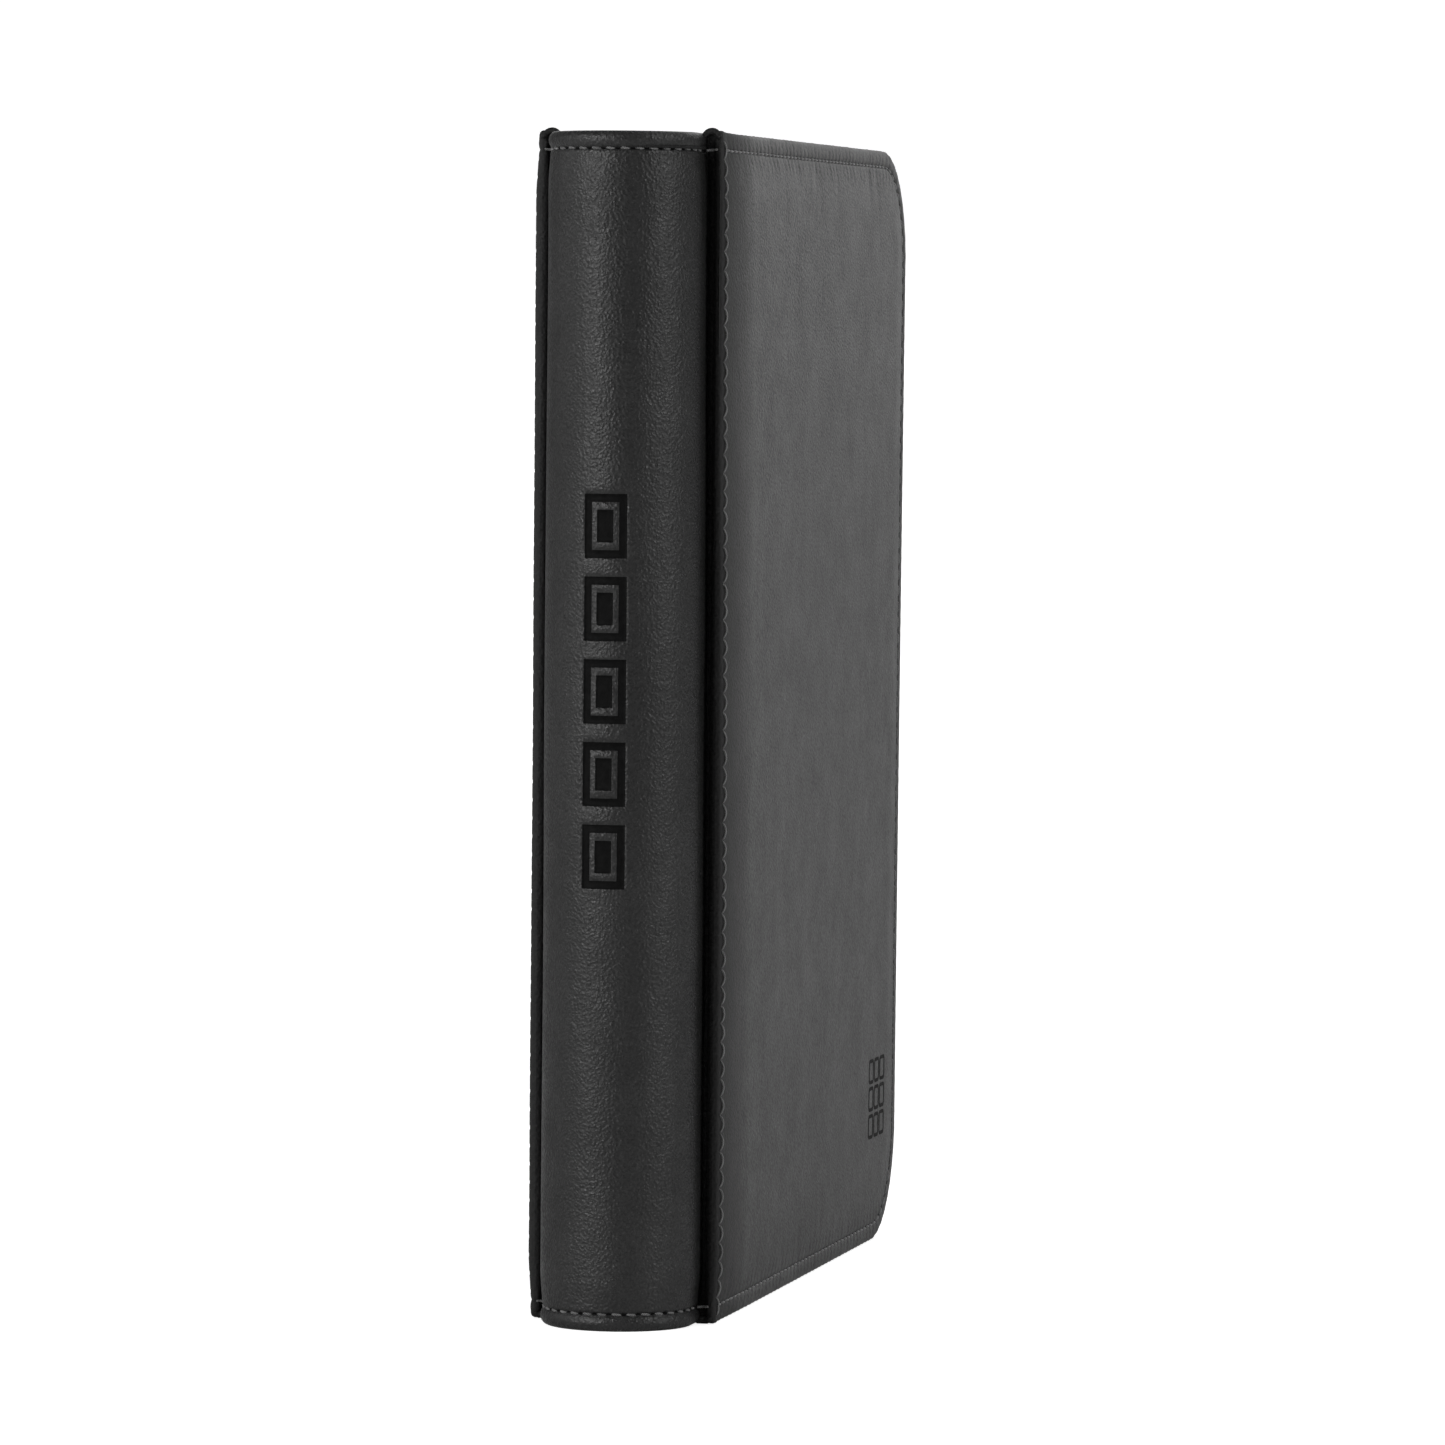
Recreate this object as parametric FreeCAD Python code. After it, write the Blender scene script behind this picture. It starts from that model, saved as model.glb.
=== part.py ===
import FreeCAD, Part
import math
import os
from FreeCAD import Vector

# Zip-closed binder for trading cards, standing on its bottom edge, in millimetres.
# X runs through the thickness, with the front cover at +X and the back cover at -X.
# Y runs from the rounded spine at -Y to the zipped fore edge at +Y. Z is up.
# The origin is the middle of the bottom face of the whole closed binder.

# ---- driving dimensions: overall ---------------------------------------------------------------
HEIGHT = 340.0              # covers and spine, bottom edge to top edge
COVER_WIDTH = 262.0         # one cover, spine side edge to fore edge
THICKNESS = 56.0            # closed, over both covers
CORNER_RADIUS = 35.0        # the two corners of each cover at the fore edge

# ---- driving dimensions: padded covers ---------------------------------------------------------
LEATHER = 1.0               # outer leatherette with its backing
COVER_FOAM = 1.0            # padding under the leatherette
COVER_BOARD = 1.3           # stiff board
COVER_LINING = 0.4          # woven lining on the inner face
LAYER_FIT = 0.2             # room between a layer's edge and the leatherette turned round it
HINGE_ROUND = 0.8           # rounding of a cover's spine side edge, which rolls in the gutter

# ---- driving dimensions: rounded spine ---------------------------------------------------------
GUTTER_GAP = 1.8            # open groove between the spine and each cover
GUTTER_DEPTH = 5.0          # how far the groove runs in behind the cover's spine side edge
SPINE_RISE = 4.5            # straight side of the spine before the round begins
SPINE_FOAM = 1.5            # padding under the spine's leatherette
SPINE_FORMER = 1.2          # curved sheet that holds the spine round
SPINE_BOARD = 2.0           # flat board that closes the back of the spine
BINDING_WEB = 1.8           # strip on that board that holds the leaves
SPINE_END_ROOM = 2.2        # between the spine's end panels and the foam, former, board and web
COVER_CLEARANCE = 0.3       # between the gutter's leatherette and the cover that swings past it

# ---- driving dimensions: pocket leaves ---------------------------------------------------------
LEAF_COUNT = 20
LEAF_MARGIN_Z = 21.0        # above and below the leaves
LEAF_MARGIN_FORE = 21.0     # between the leaves and the cover's fore edge
LEAF_SIDE_ROOM = 0.6        # between the outermost leaf's fold and the spine's leatherette
LEAF_CORE = 0.3             # black centre sheet
LEAF_FILM = 0.15            # clear pocket film on each side of the centre sheet
LEAF_TAB = 15.0             # plain strip between a leaf's fold and its pockets
LEAF_EDGE = 3.0             # plain strip along the leaf's free edge
WELD = 2.5                  # welded line between neighbouring pockets
POCKET_SLIT = 1.2           # side opening of a pocket, which faces the spine
POCKET_SLIT_END = 4.0       # film left whole at each end of that slit
POCKET_COLUMNS = 3
POCKET_ROWS = 3
FOLD_CLEARANCE = 0.6        # the leaves' fold lines stand this far above the gutter's end
FOLD_GAP = 0.15             # between a leaf's rounded root and the web

# ---- driving dimensions: rivets ----------------------------------------------------------------
RIVET_SHANK_RADIUS = 1.4
RIVET_HEAD_RADIUS = 2.6
RIVET_HEAD = 0.8
RIVET_FROM_END = 7.0        # from the end of the web to a rivet's centre

# ---- driving dimensions: zip -------------------------------------------------------------------
ZIP_SINK = 0.38             # the slider's highest point lies this far inside the covers' edges
SIDE_BAND = 0.8             # leatherette band that carries the zip
ZIP_TAPE = 0.5
ZIP_TAPE_HALF = 14.0        # half of the zip's full tape width
TAPE_LAP = 3.0              # how far tape and band overlap where they are sewn
COIL_WIDTH = 2.25           # one row of coils
COIL_HEIGHT = 2.2
COIL_SLIT = 0.7             # between the two rows of coils
WALL_START = 4.0            # band and tape start this far past the gutter's end
PANEL_GAP = 0.4             # between the spine's end panels and the bands
STOP_LENGTH = 2.0
STOP_GAP = 0.3              # between a stop and what stands next to it
TAPE_END_LENGTH = 14.0      # tape ends sewn under the spine's end panels
END_TAB_WIDTH = 18.0
END_TAB_LENGTH = 22.0

SLIDER_LENGTH = 11.0
SLIDER_PLATE = 0.9
SLIDER_FLANGE = 1.2         # width of each lip along the slider's sides
SLIDER_SIDE_ROOM = 1.0      # between the coils and the lips
SLIDER_CLEARANCE = 0.3      # round the coils and the tapes
SLIDER_POST = 0.3           # wedge between the two rows of coils
SLIDER_POST_LENGTH = 3.0
PIN_RADIUS = 0.6            # cross pin that the pull tab turns on
PIN_RUNNING = 0.06
EAR_WIDTH = 0.8
EAR_SIDE_GAP = 0.15
PULL_EYE_WALL = 0.45
PULL_LENGTH = 25.0
PULL_WIDTH = 6.4
PULL_NECK = 3.6             # the narrow end that carries the eye
PULL_THICKNESS = 1.2

# ---- places worked out from them ---------------------------------------------------------------
COVER_THICKNESS = LEATHER + COVER_FOAM + COVER_BOARD + COVER_LINING
COVER_IN = THICKNESS / 2 - COVER_THICKNESS          # inner face of the front cover
SPINE_RADIUS = COVER_IN - GUTTER_GAP                # outside of the spine's leatherette
BULGE = SPINE_RADIUS + SPINE_RISE                   # spine in front of the covers' edges
DEPTH = COVER_WIDTH + BULGE
SPINE_Y = -DEPTH / 2                                # crown of the spine
EDGE_Y = SPINE_Y + BULGE                            # spine side edge of the covers
FORE_Y = DEPTH / 2                                  # fore edge of the covers
ROUND_Y = EDGE_Y - SPINE_RISE                       # centre of the spine's round
GUTTER_Y = EDGE_Y + GUTTER_DEPTH
SPINE_IN = SPINE_RADIUS - LEATHER                   # inside of the spine's leatherette
HINGE_X = COVER_IN + HINGE_ROUND                    # the covers turn about these two lines
HINGE_Y = EDGE_Y + HINGE_ROUND

ROOT_RADIUS = LEAF_CORE / 2
FOLD_Y = GUTTER_Y + FOLD_CLEARANCE                  # all leaves fold on this plane
WEB_TOP_Y = FOLD_Y - ROOT_RADIUS - FOLD_GAP
WEB_Y = WEB_TOP_Y - BINDING_WEB
BOARD_Y = WEB_Y - SPINE_BOARD
FOLD_SPAN = 2 * (SPINE_IN - LEAF_SIDE_ROOM)         # first fold line to last
LEAF_PITCH = FOLD_SPAN / (LEAF_COUNT - 1)
LEAF_END_Y = FORE_Y - LEAF_MARGIN_FORE
LEAF_LOW_Z = LEAF_MARGIN_Z
LEAF_TOP_Z = HEIGHT - LEAF_MARGIN_Z

CHANNEL_HALF = COIL_HEIGHT / 2 + SLIDER_CLEARANCE
PLATE_TOP = CHANNEL_HALF + SLIDER_PLATE
EYE_RADIUS = PIN_RADIUS + PIN_RUNNING + PULL_EYE_WALL
PIN_UP = PLATE_TOP + EYE_RADIUS + EAR_SIDE_GAP      # pin above mid tape
TAPE_MID = PIN_UP + EYE_RADIUS + ZIP_SINK           # from the cover's edge to mid tape
WALL_INSET = TAPE_MID - SIDE_BAND - ZIP_TAPE / 2    # from the cover's edge to the side band
SPINE_END = WALL_INSET + SIDE_BAND + SPINE_END_ROOM

TAPE_IN = COIL_SLIT / 2 + COIL_WIDTH                # tape edge that carries the coils
TAPE_OUT = ZIP_TAPE_HALF
BAND_IN = TAPE_OUT - TAPE_LAP
WALL_Y = GUTTER_Y + WALL_START                      # bands and tapes start here
STOP_Y = WALL_Y + STOP_GAP
PARK_Y = STOP_Y + STOP_LENGTH + STOP_GAP            # spine side end of the parked slider
SLIDER_HALF = TAPE_IN + SLIDER_SIDE_ROOM + SLIDER_FLANGE
TAPE_TOP_Z = HEIGHT - TAPE_MID
PIN_Z = TAPE_TOP_Z + PIN_UP
PIN_Y = PARK_Y + SLIDER_LENGTH / 2
# The front coils on the top run start beyond the arc on which the back cover carries the slider.
SLIDER_REACH = math.hypot(SLIDER_HALF + HINGE_X, PARK_Y + SLIDER_LENGTH - HINGE_Y)
COIL_Y = HINGE_Y + math.sqrt(SLIDER_REACH ** 2 - (HINGE_X + COIL_SLIT / 2) ** 2) + STOP_GAP


# ---- helpers -----------------------------------------------------------------------------------
def block(x0, x1, y0, y1, z0, z1):
    """A box between two corners."""
    return Part.makeBox(x1 - x0, y1 - y0, z1 - z0, Vector(x0, y0, z0))


def arc(a, middle, b):
    return Part.Arc(a, middle, b).toShape()


def line(a, b):
    return Part.LineSegment(a, b).toShape()


def cover_outline(y_start, inset, x0, x1):
    """A plate in the shape of a cover: square at the spine side, round at the fore edge.

    inset moves the bottom, fore and top edges inwards; y_start is the spine side edge."""
    low, high, fore = inset, HEIGHT - inset, FORE_Y - inset
    centre_y, radius = FORE_Y - CORNER_RADIUS, CORNER_RADIUS - inset
    low_z, high_z = CORNER_RADIUS, HEIGHT - CORNER_RADIUS
    diagonal = radius * math.sqrt(0.5)

    def at(y, z):
        return Vector(x0, y, z)

    edges = [
        line(at(y_start, low), at(centre_y, low)),
        arc(at(centre_y, low), at(centre_y + diagonal, low_z - diagonal), at(fore, low_z)),
        line(at(fore, low_z), at(fore, high_z)),
        arc(at(fore, high_z), at(centre_y + diagonal, high_z + diagonal), at(centre_y, high)),
        line(at(centre_y, high), at(y_start, high)),
        line(at(y_start, high), at(y_start, low)),
    ]
    return Part.Face(Part.Wire(edges)).extrude(Vector(x1 - x0, 0, 0))


def side_wall(inset, thickness, x0, x1, y_low=WALL_Y, y_top=WALL_Y):
    """A wall that follows the covers' top, fore and bottom edges and is open at the spine.

    y_low and y_top are where its bottom and top runs start."""
    first = min(y_low, y_top)
    wall = cover_outline(first, inset, x0, x1)
    wall = wall.cut(cover_outline(first - thickness, inset + thickness, x0, x1))
    spare = thickness + inset
    if y_top > first:
        wall = wall.cut(block(x0, x1, first, y_top, HEIGHT - spare, HEIGHT))
    if y_low > first:
        wall = wall.cut(block(x0, x1, first, y_low, 0, spare))
    return wall


def spine_arch(outer, inner, leg_end, z0, z1):
    """A half round channel, open towards the fore edge, with straight legs to leg_end."""
    crown_out, crown_in = ROUND_Y - outer, ROUND_Y - inner

    def at(x, y):
        return Vector(x, y, z0)

    edges = [
        line(at(outer, leg_end), at(outer, ROUND_Y)),
        arc(at(outer, ROUND_Y), at(0, crown_out), at(-outer, ROUND_Y)),
        line(at(-outer, ROUND_Y), at(-outer, leg_end)),
        line(at(-outer, leg_end), at(-inner, leg_end)),
        line(at(-inner, leg_end), at(-inner, ROUND_Y)),
        arc(at(-inner, ROUND_Y), at(0, crown_in), at(inner, ROUND_Y)),
        line(at(inner, ROUND_Y), at(inner, leg_end)),
        line(at(inner, leg_end), at(outer, leg_end)),
    ]
    return Part.Face(Part.Wire(edges)).extrude(Vector(0, 0, z1 - z0))


def mirror_x(shape):
    """The same piece on the back cover's side."""
    return shape.mirror(Vector(0, 0, 0), Vector(1, 0, 0))


def rod_y(x, z, radius, y0, y1):
    return Part.makeCylinder(radius, y1 - y0, Vector(x, y0, z), Vector(0, 1, 0))


def rod_x(y, z, radius, x0, x1):
    return Part.makeCylinder(radius, x1 - x0, Vector(x0, y, z), Vector(1, 0, 0))


# ---- padded cover ------------------------------------------------------------------------------
def cover_skin():
    """Leatherette over the cover's outer face and turned round its four edges, as a tray."""
    slab = cover_outline(EDGE_Y, 0, COVER_IN, THICKNESS / 2)
    spine_edges = []
    for edge in slab.Edges:
        ends = [vertex.Point for vertex in edge.Vertexes]
        if all(abs(p.y - EDGE_Y) < 1e-6 for p in ends) and abs(ends[0].x - ends[1].x) < 1e-6:
            spine_edges.append(edge)
    slab = slab.makeFillet(HINGE_ROUND, spine_edges)
    hollow = cover_outline(EDGE_Y + LEATHER, LEATHER, COVER_IN, THICKNESS / 2 - LEATHER)
    return slab.cut(hollow)


def cover_layer(outer_face, thickness):
    """One flat layer inside the tray; outer_face is how deep its outer face lies."""
    x1 = THICKNESS / 2 - outer_face
    inset = LEATHER + LAYER_FIT
    return cover_outline(EDGE_Y + inset, inset, x1 - thickness, x1)


def cover_nodes(side):
    """All pieces of one cover. The back cover's are mirrored, and its coils run under the slider."""
    coil_top = COIL_Y if side == "front" else PARK_Y
    coil_inset = TAPE_MID - COIL_HEIGHT / 2
    pieces = {
        "cover_skin": cover_skin(),
        "cover_foam": cover_layer(LEATHER, COVER_FOAM),
        "cover_board": cover_layer(LEATHER + COVER_FOAM, COVER_BOARD),
        "cover_lining": cover_layer(LEATHER + COVER_FOAM + COVER_BOARD, COVER_LINING),
        "side_band": side_wall(WALL_INSET, SIDE_BAND, BAND_IN, COVER_IN),
        "zip_tape": side_wall(WALL_INSET + SIDE_BAND, ZIP_TAPE, TAPE_IN, TAPE_OUT),
        "zip_coil": side_wall(coil_inset, COIL_HEIGHT, COIL_SLIT / 2, TAPE_IN,
                              y_low=PARK_Y, y_top=coil_top),
    }
    if side == "back":
        pieces = {name: mirror_x(shape) for name, shape in pieces.items()}
    return {f"{side}_{name}": shape for name, shape in pieces.items()}


# ---- rounded spine -----------------------------------------------------------------------------
def end_panel(z0, z1):
    """Leatherette panel that closes one end of the spine, between its hem and the zip."""
    y1 = WALL_Y - PANEL_GAP
    disc = Part.makeCylinder(SPINE_IN, z1 - z0, Vector(0, ROUND_Y, z0))
    front = disc.common(block(-SPINE_IN, SPINE_IN, ROUND_Y - SPINE_IN, ROUND_Y, z0, z1))
    return front.fuse(block(-SPINE_IN, SPINE_IN, ROUND_Y, y1, z0, z1)).removeSplitter()


def end_tab(z0, z1):
    """Leatherette tab sewn over the tape ends."""
    y1 = WALL_Y - PANEL_GAP
    half = END_TAB_WIDTH / 2
    tab = block(-half, half, y1 - END_TAB_LENGTH, y1, z0, z1)
    round_edges = [e for e in tab.Edges
                   if abs(e.Vertexes[0].Z - e.Vertexes[1].Z) > 1e-6
                   and e.Vertexes[0].Y < y1 - END_TAB_LENGTH / 2]
    return tab.makeFillet(half / 2, round_edges)


def tape_end(z):
    """End of both tapes, sewn under an end panel and reaching out to the stops on it."""
    half, y1 = TAPE_IN - STOP_GAP, STOP_Y + STOP_LENGTH
    return block(-half, half, y1 - TAPE_END_LENGTH, y1, z - ZIP_TAPE / 2, z + ZIP_TAPE / 2)


def stop(x0, x1, z):
    """A metal stop crimped round the tape ends at height z."""
    bar = block(x0, x1, STOP_Y, STOP_Y + STOP_LENGTH, z - COIL_HEIGHT / 2, z + COIL_HEIGHT / 2)
    return bar.cut(tape_end(z))


def rivet_places():
    x = SPINE_RADIUS / 2
    low = SPINE_END + RIVET_FROM_END
    return [(sx * x, z) for sx in (-1, 1) for z in (low, HEIGHT - low)]


def drilled(strip):
    for x, z in rivet_places():
        strip = strip.cut(rod_y(x, z, RIVET_SHANK_RADIUS, BOARD_Y, WEB_TOP_Y))
    return strip


def rivets():
    """Four rivets through web and board, each with a head on both sides."""
    made = []
    for x, z in rivet_places():
        shank = rod_y(x, z, RIVET_SHANK_RADIUS, BOARD_Y, WEB_TOP_Y)
        head = rod_y(x, z, RIVET_HEAD_RADIUS, WEB_TOP_Y, WEB_TOP_Y + RIVET_HEAD)
        tail = rod_y(x, z, RIVET_HEAD_RADIUS, BOARD_Y - RIVET_HEAD, BOARD_Y)
        made.append(shank.fuse([head, tail]).removeSplitter())
    return Part.makeCompound(made)


def spine_nodes():
    """The fixed middle of the binder: spine, web, end panels and gutter folds."""
    low, high = SPINE_END, HEIGHT - SPINE_END
    foam_in = SPINE_IN - SPINE_FOAM
    web_half = SPINE_IN - LEAF_SIDE_ROOM / 2
    fold_out = COVER_IN - COVER_CLEARANCE
    panel_z = WALL_INSET + SIDE_BAND
    fold = block(SPINE_RADIUS, fold_out, GUTTER_Y - LEATHER, GUTTER_Y, WALL_INSET, HEIGHT - WALL_INSET)
    stop_in, stop_out = COIL_SLIT / 2, TAPE_IN - STOP_GAP
    top_stop = stop(stop_in, stop_out, TAPE_TOP_Z)
    return {
        "spine_skin": spine_arch(SPINE_RADIUS, SPINE_IN, GUTTER_Y, 0, HEIGHT),
        "spine_foam": spine_arch(SPINE_IN, foam_in, BOARD_Y, low, high),
        "spine_former": spine_arch(foam_in, foam_in - SPINE_FORMER, BOARD_Y, low, high),
        "spine_board": drilled(block(-SPINE_IN, SPINE_IN, BOARD_Y, WEB_Y, low, high)),
        "page_binding_web": drilled(block(-web_half, web_half, WEB_Y, WEB_TOP_Y, low, high)),
        "binding_rivets": rivets(),
        "spine_end_panel_top": end_panel(HEIGHT - panel_z, HEIGHT - WALL_INSET),
        "spine_end_panel_bottom": end_panel(WALL_INSET, panel_z),
        "zip_end_tab_top": end_tab(HEIGHT - WALL_INSET, HEIGHT - WALL_INSET + LEATHER),
        "zip_end_tab_bottom": end_tab(WALL_INSET - LEATHER, WALL_INSET),
        "zip_tape_end_top": tape_end(TAPE_TOP_Z),
        "zip_tape_end_bottom": tape_end(TAPE_MID),
        "zip_top_stops": Part.makeCompound([top_stop, mirror_x(top_stop)]),
        "zip_bottom_stop": stop(-stop_out, stop_out, TAPE_MID),
        "front_hinge_fold": fold,
        "back_hinge_fold": mirror_x(fold),
    }


# ---- pocket leaves -----------------------------------------------------------------------------
def pocket_film():
    """Clear film with one slit per pocket, lying on the +X face of a leaf's centre sheet."""
    x0, x1 = LEAF_CORE / 2, LEAF_CORE / 2 + LEAF_FILM
    y0, y1 = FOLD_Y + LEAF_TAB, LEAF_END_Y - LEAF_EDGE
    film = block(x0, x1, y0, y1, LEAF_LOW_Z, LEAF_TOP_Z)
    column = (y1 - y0 - WELD) / POCKET_COLUMNS
    row = (LEAF_TOP_Z - LEAF_LOW_Z - WELD) / POCKET_ROWS
    for i in range(POCKET_COLUMNS):
        slit_y = y0 + WELD + i * column
        for j in range(POCKET_ROWS):
            z0 = LEAF_LOW_Z + WELD + j * row + POCKET_SLIT_END
            z1 = LEAF_LOW_Z + (j + 1) * row - POCKET_SLIT_END
            film = film.cut(block(x0, x1, slit_y, slit_y + POCKET_SLIT, z0, z1))
    return film


def leaf():
    """One pocket leaf on the plane X = 0: centre sheet with a rounded root, and two films."""
    half = LEAF_CORE / 2
    sheet = block(-half, half, FOLD_Y, LEAF_END_Y, LEAF_LOW_Z, LEAF_TOP_Z)
    root = Part.makeCylinder(ROOT_RADIUS, LEAF_TOP_Z - LEAF_LOW_Z, Vector(0, FOLD_Y, LEAF_LOW_Z))
    core = sheet.fuse(root).removeSplitter()
    film = pocket_film()
    return Part.makeCompound([core, film, mirror_x(film)])


def leaf_nodes():
    """The leaves, numbered from the front cover to the back cover."""
    pattern = leaf()
    made = {}
    for i in range(LEAF_COUNT):
        copy = pattern.copy()
        copy.translate(Vector(FOLD_SPAN / 2 - i * LEAF_PITCH, 0, 0))
        made[f"leaf_{i + 1:02d}"] = copy
    return made


# ---- zip slider and pull -----------------------------------------------------------------------
def slider():
    """Two plates with lips along their sides, a post between them, and two ears with a pin."""
    z, y0, y1 = TAPE_TOP_Z, PARK_Y, PARK_Y + SLIDER_LENGTH
    lip = ZIP_TAPE / 2 + SLIDER_CLEARANCE
    body = block(-SLIDER_POST / 2, SLIDER_POST / 2, y0, y0 + SLIDER_POST_LENGTH,
                 z - CHANNEL_HALF, z + CHANNEL_HALF)
    parts = []
    for sign in (-1, 1):
        plate_z = sorted((z + sign * CHANNEL_HALF, z + sign * PLATE_TOP))
        parts.append(block(-SLIDER_HALF, SLIDER_HALF, y0, y1, *plate_z))
        lip_z = sorted((z + sign * lip, z + sign * CHANNEL_HALF))
        for lip_x in (-SLIDER_HALF, SLIDER_HALF - SLIDER_FLANGE):
            parts.append(block(lip_x, lip_x + SLIDER_FLANGE, y0, y1, *lip_z))
    ear_in = PULL_NECK / 2 + EAR_SIDE_GAP
    for x0 in (ear_in, -ear_in - EAR_WIDTH):
        foot = block(x0, x0 + EAR_WIDTH, PIN_Y - EYE_RADIUS, PIN_Y + EYE_RADIUS,
                     z + PLATE_TOP, PIN_Z)
        parts += [foot, rod_x(PIN_Y, PIN_Z, EYE_RADIUS, x0, x0 + EAR_WIDTH)]
    parts.append(rod_x(PIN_Y, PIN_Z, PIN_RADIUS, -ear_in - EAR_WIDTH, ear_in + EAR_WIDTH))
    return body.fuse(parts).removeSplitter()


def pull_tab():
    """Flat tab that lies along the zip, with an eye round the slider's pin."""
    half, bore = PULL_THICKNESS / 2, PIN_RADIUS + PIN_RUNNING
    neck_end = PIN_Y + 2 * EYE_RADIUS
    neck = block(-PULL_NECK / 2, PULL_NECK / 2, PIN_Y, neck_end + half, PIN_Z - half, PIN_Z + half)
    paddle = block(-PULL_WIDTH / 2, PULL_WIDTH / 2, neck_end, PIN_Y + PULL_LENGTH,
                   PIN_Z - half, PIN_Z + half)
    corners = [e for e in paddle.Edges if abs(e.Vertexes[0].Z - e.Vertexes[1].Z) > 1e-6]
    paddle = paddle.makeFillet(half * 2, corners)
    eye = rod_x(PIN_Y, PIN_Z, EYE_RADIUS, -PULL_NECK / 2, PULL_NECK / 2)
    hole = rod_x(PIN_Y, PIN_Z, bore, -PULL_NECK / 2, PULL_NECK / 2)
    return eye.fuse([neck, paddle]).cut(hole).removeSplitter()


# ---- export ------------------------------------------------------------------------------------
def main():
    nodes = {}
    nodes.update(spine_nodes())
    nodes.update(cover_nodes("front"))
    nodes.update(cover_nodes("back"))
    nodes.update(leaf_nodes())
    nodes["zip_slider"] = slider()
    nodes["zip_pull_tab"] = pull_tab()
    os.makedirs("parts", exist_ok=True)
    for name, shape in nodes.items():
        shape.exportStep(f"parts/{name}.step")
    print(f"{len(nodes)} nodes; {DEPTH:.2f} deep; hinge at x {HINGE_X:.3f}, y {HINGE_Y:.3f}; "
          f"folds at y {FOLD_Y:.3f}, pitch {LEAF_PITCH:.4f}; pin at y {PIN_Y:.3f}, z {PIN_Z:.3f}")


main()
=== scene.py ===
import math

import bmesh
import bpy
import numpy as np
from mathutils import Matrix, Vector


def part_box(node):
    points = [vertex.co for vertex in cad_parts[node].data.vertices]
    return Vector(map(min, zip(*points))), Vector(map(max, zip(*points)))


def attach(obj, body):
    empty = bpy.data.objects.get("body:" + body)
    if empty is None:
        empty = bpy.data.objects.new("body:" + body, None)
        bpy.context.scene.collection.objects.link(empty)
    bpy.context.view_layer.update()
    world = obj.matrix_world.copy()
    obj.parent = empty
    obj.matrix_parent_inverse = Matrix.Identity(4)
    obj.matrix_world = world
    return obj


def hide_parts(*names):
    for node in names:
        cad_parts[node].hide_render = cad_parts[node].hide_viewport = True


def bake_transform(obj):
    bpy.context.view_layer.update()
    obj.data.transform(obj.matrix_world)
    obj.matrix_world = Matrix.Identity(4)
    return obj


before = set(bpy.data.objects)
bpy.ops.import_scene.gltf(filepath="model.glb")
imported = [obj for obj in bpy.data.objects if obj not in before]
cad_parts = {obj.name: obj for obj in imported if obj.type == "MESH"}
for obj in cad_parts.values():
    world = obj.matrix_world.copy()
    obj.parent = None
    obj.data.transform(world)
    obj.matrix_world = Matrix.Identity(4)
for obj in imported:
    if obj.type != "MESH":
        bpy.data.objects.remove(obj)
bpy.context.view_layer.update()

# Every length below is in millimetres; meshes are scaled to metres as they are made.
MM = 0.001
RANDOM = np.random.default_rng(17)


# ---- sizes read from the frame ----
def box_mm(node):
    low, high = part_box(node)
    return np.array(low) / MM, np.array(high) / MM


COVER_LOW, COVER_HIGH = box_mm("front_cover_skin")
COVER_IN, COVER_OUT = COVER_LOW[0], COVER_HIGH[0]
EDGE_Y, FORE_Y, HEIGHT = COVER_LOW[1], COVER_HIGH[1], COVER_HIGH[2]
SPINE_LOW, SPINE_HIGH = box_mm("spine_skin")
SPINE_R, SPINE_Y, GUTTER_Y = SPINE_HIGH[0], SPINE_LOW[1], SPINE_HIGH[1]
ROUND_Y = SPINE_Y + SPINE_R
BOARD_HIGH = box_mm("front_cover_board")[1]
LINING_LOW, LINING_HIGH = box_mm("front_cover_lining")
BAND_LOW, BAND_HIGH = box_mm("front_side_band")
TAPE_LOW, TAPE_HIGH = box_mm("front_zip_tape")
COIL_LOW = box_mm("front_zip_coil")[0]
SLIDER_LOW, SLIDER_HIGH = box_mm("zip_slider")
PULL_LOW, PULL_HIGH = box_mm("zip_pull_tab")
CORNER = 35.0               # round corners of the covers at the fore edge
SPINE_CORNER = 1.6          # small corners at the spine side
WALL_INSET = HEIGHT - BAND_HIGH[2]
TAPE_INSET = HEIGHT - TAPE_HIGH[2]
TAPE_THICK = 0.5
TAPE_MID = TAPE_INSET + TAPE_THICK / 2

# ---- sizes of the sewing and padding ----
STITCH = 5.0                # length of one hem stitch
HEM = 4.9                   # hem stitches lie this far from an edge
SEAM_STITCH = 5.3           # stitches along the covers' spine side edge
THREAD = 0.34               # radius
PER_STITCH = 5              # mesh columns to one stitch
HEM_DEPTH = 0.9             # the hem lies this far below the padded face
DEEPEST = 1.75              # the leatherette never sinks further, so that it covers the board
SEAM_DEPTH = 0.95           # the covers' padding sinks this much towards the seam
FORE_LEAN = 0.85            # the covers' fore corners are thicker at the top and thinner below
TOP_PINCH = 1.1             # the front cover is pinched in beside the top of the spine
LEATHER = 1.0
EDGE_ROLL = 1.7             # the covers' edges curve in this far on the zip side


# ---- mesh helpers ----
def smoothstep(edge0, edge1, value):
    t = np.clip((value - edge0) / (edge1 - edge0), 0, 1)
    return t * t * (3 - 2 * t)


def bump(value, centre, width):
    return np.exp(-((value - centre) / width) ** 2)


def xyz(x, y, z):
    """Points or directions from coordinates, each of which is an array or one number."""
    return np.stack(np.broadcast_arrays(x, y, z), -1).astype(float)


def path_length(path):
    """Length along a path up to each of its points."""
    return np.concatenate([[0], np.cumsum(np.linalg.norm(np.diff(path, axis=0), axis=1))])


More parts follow.
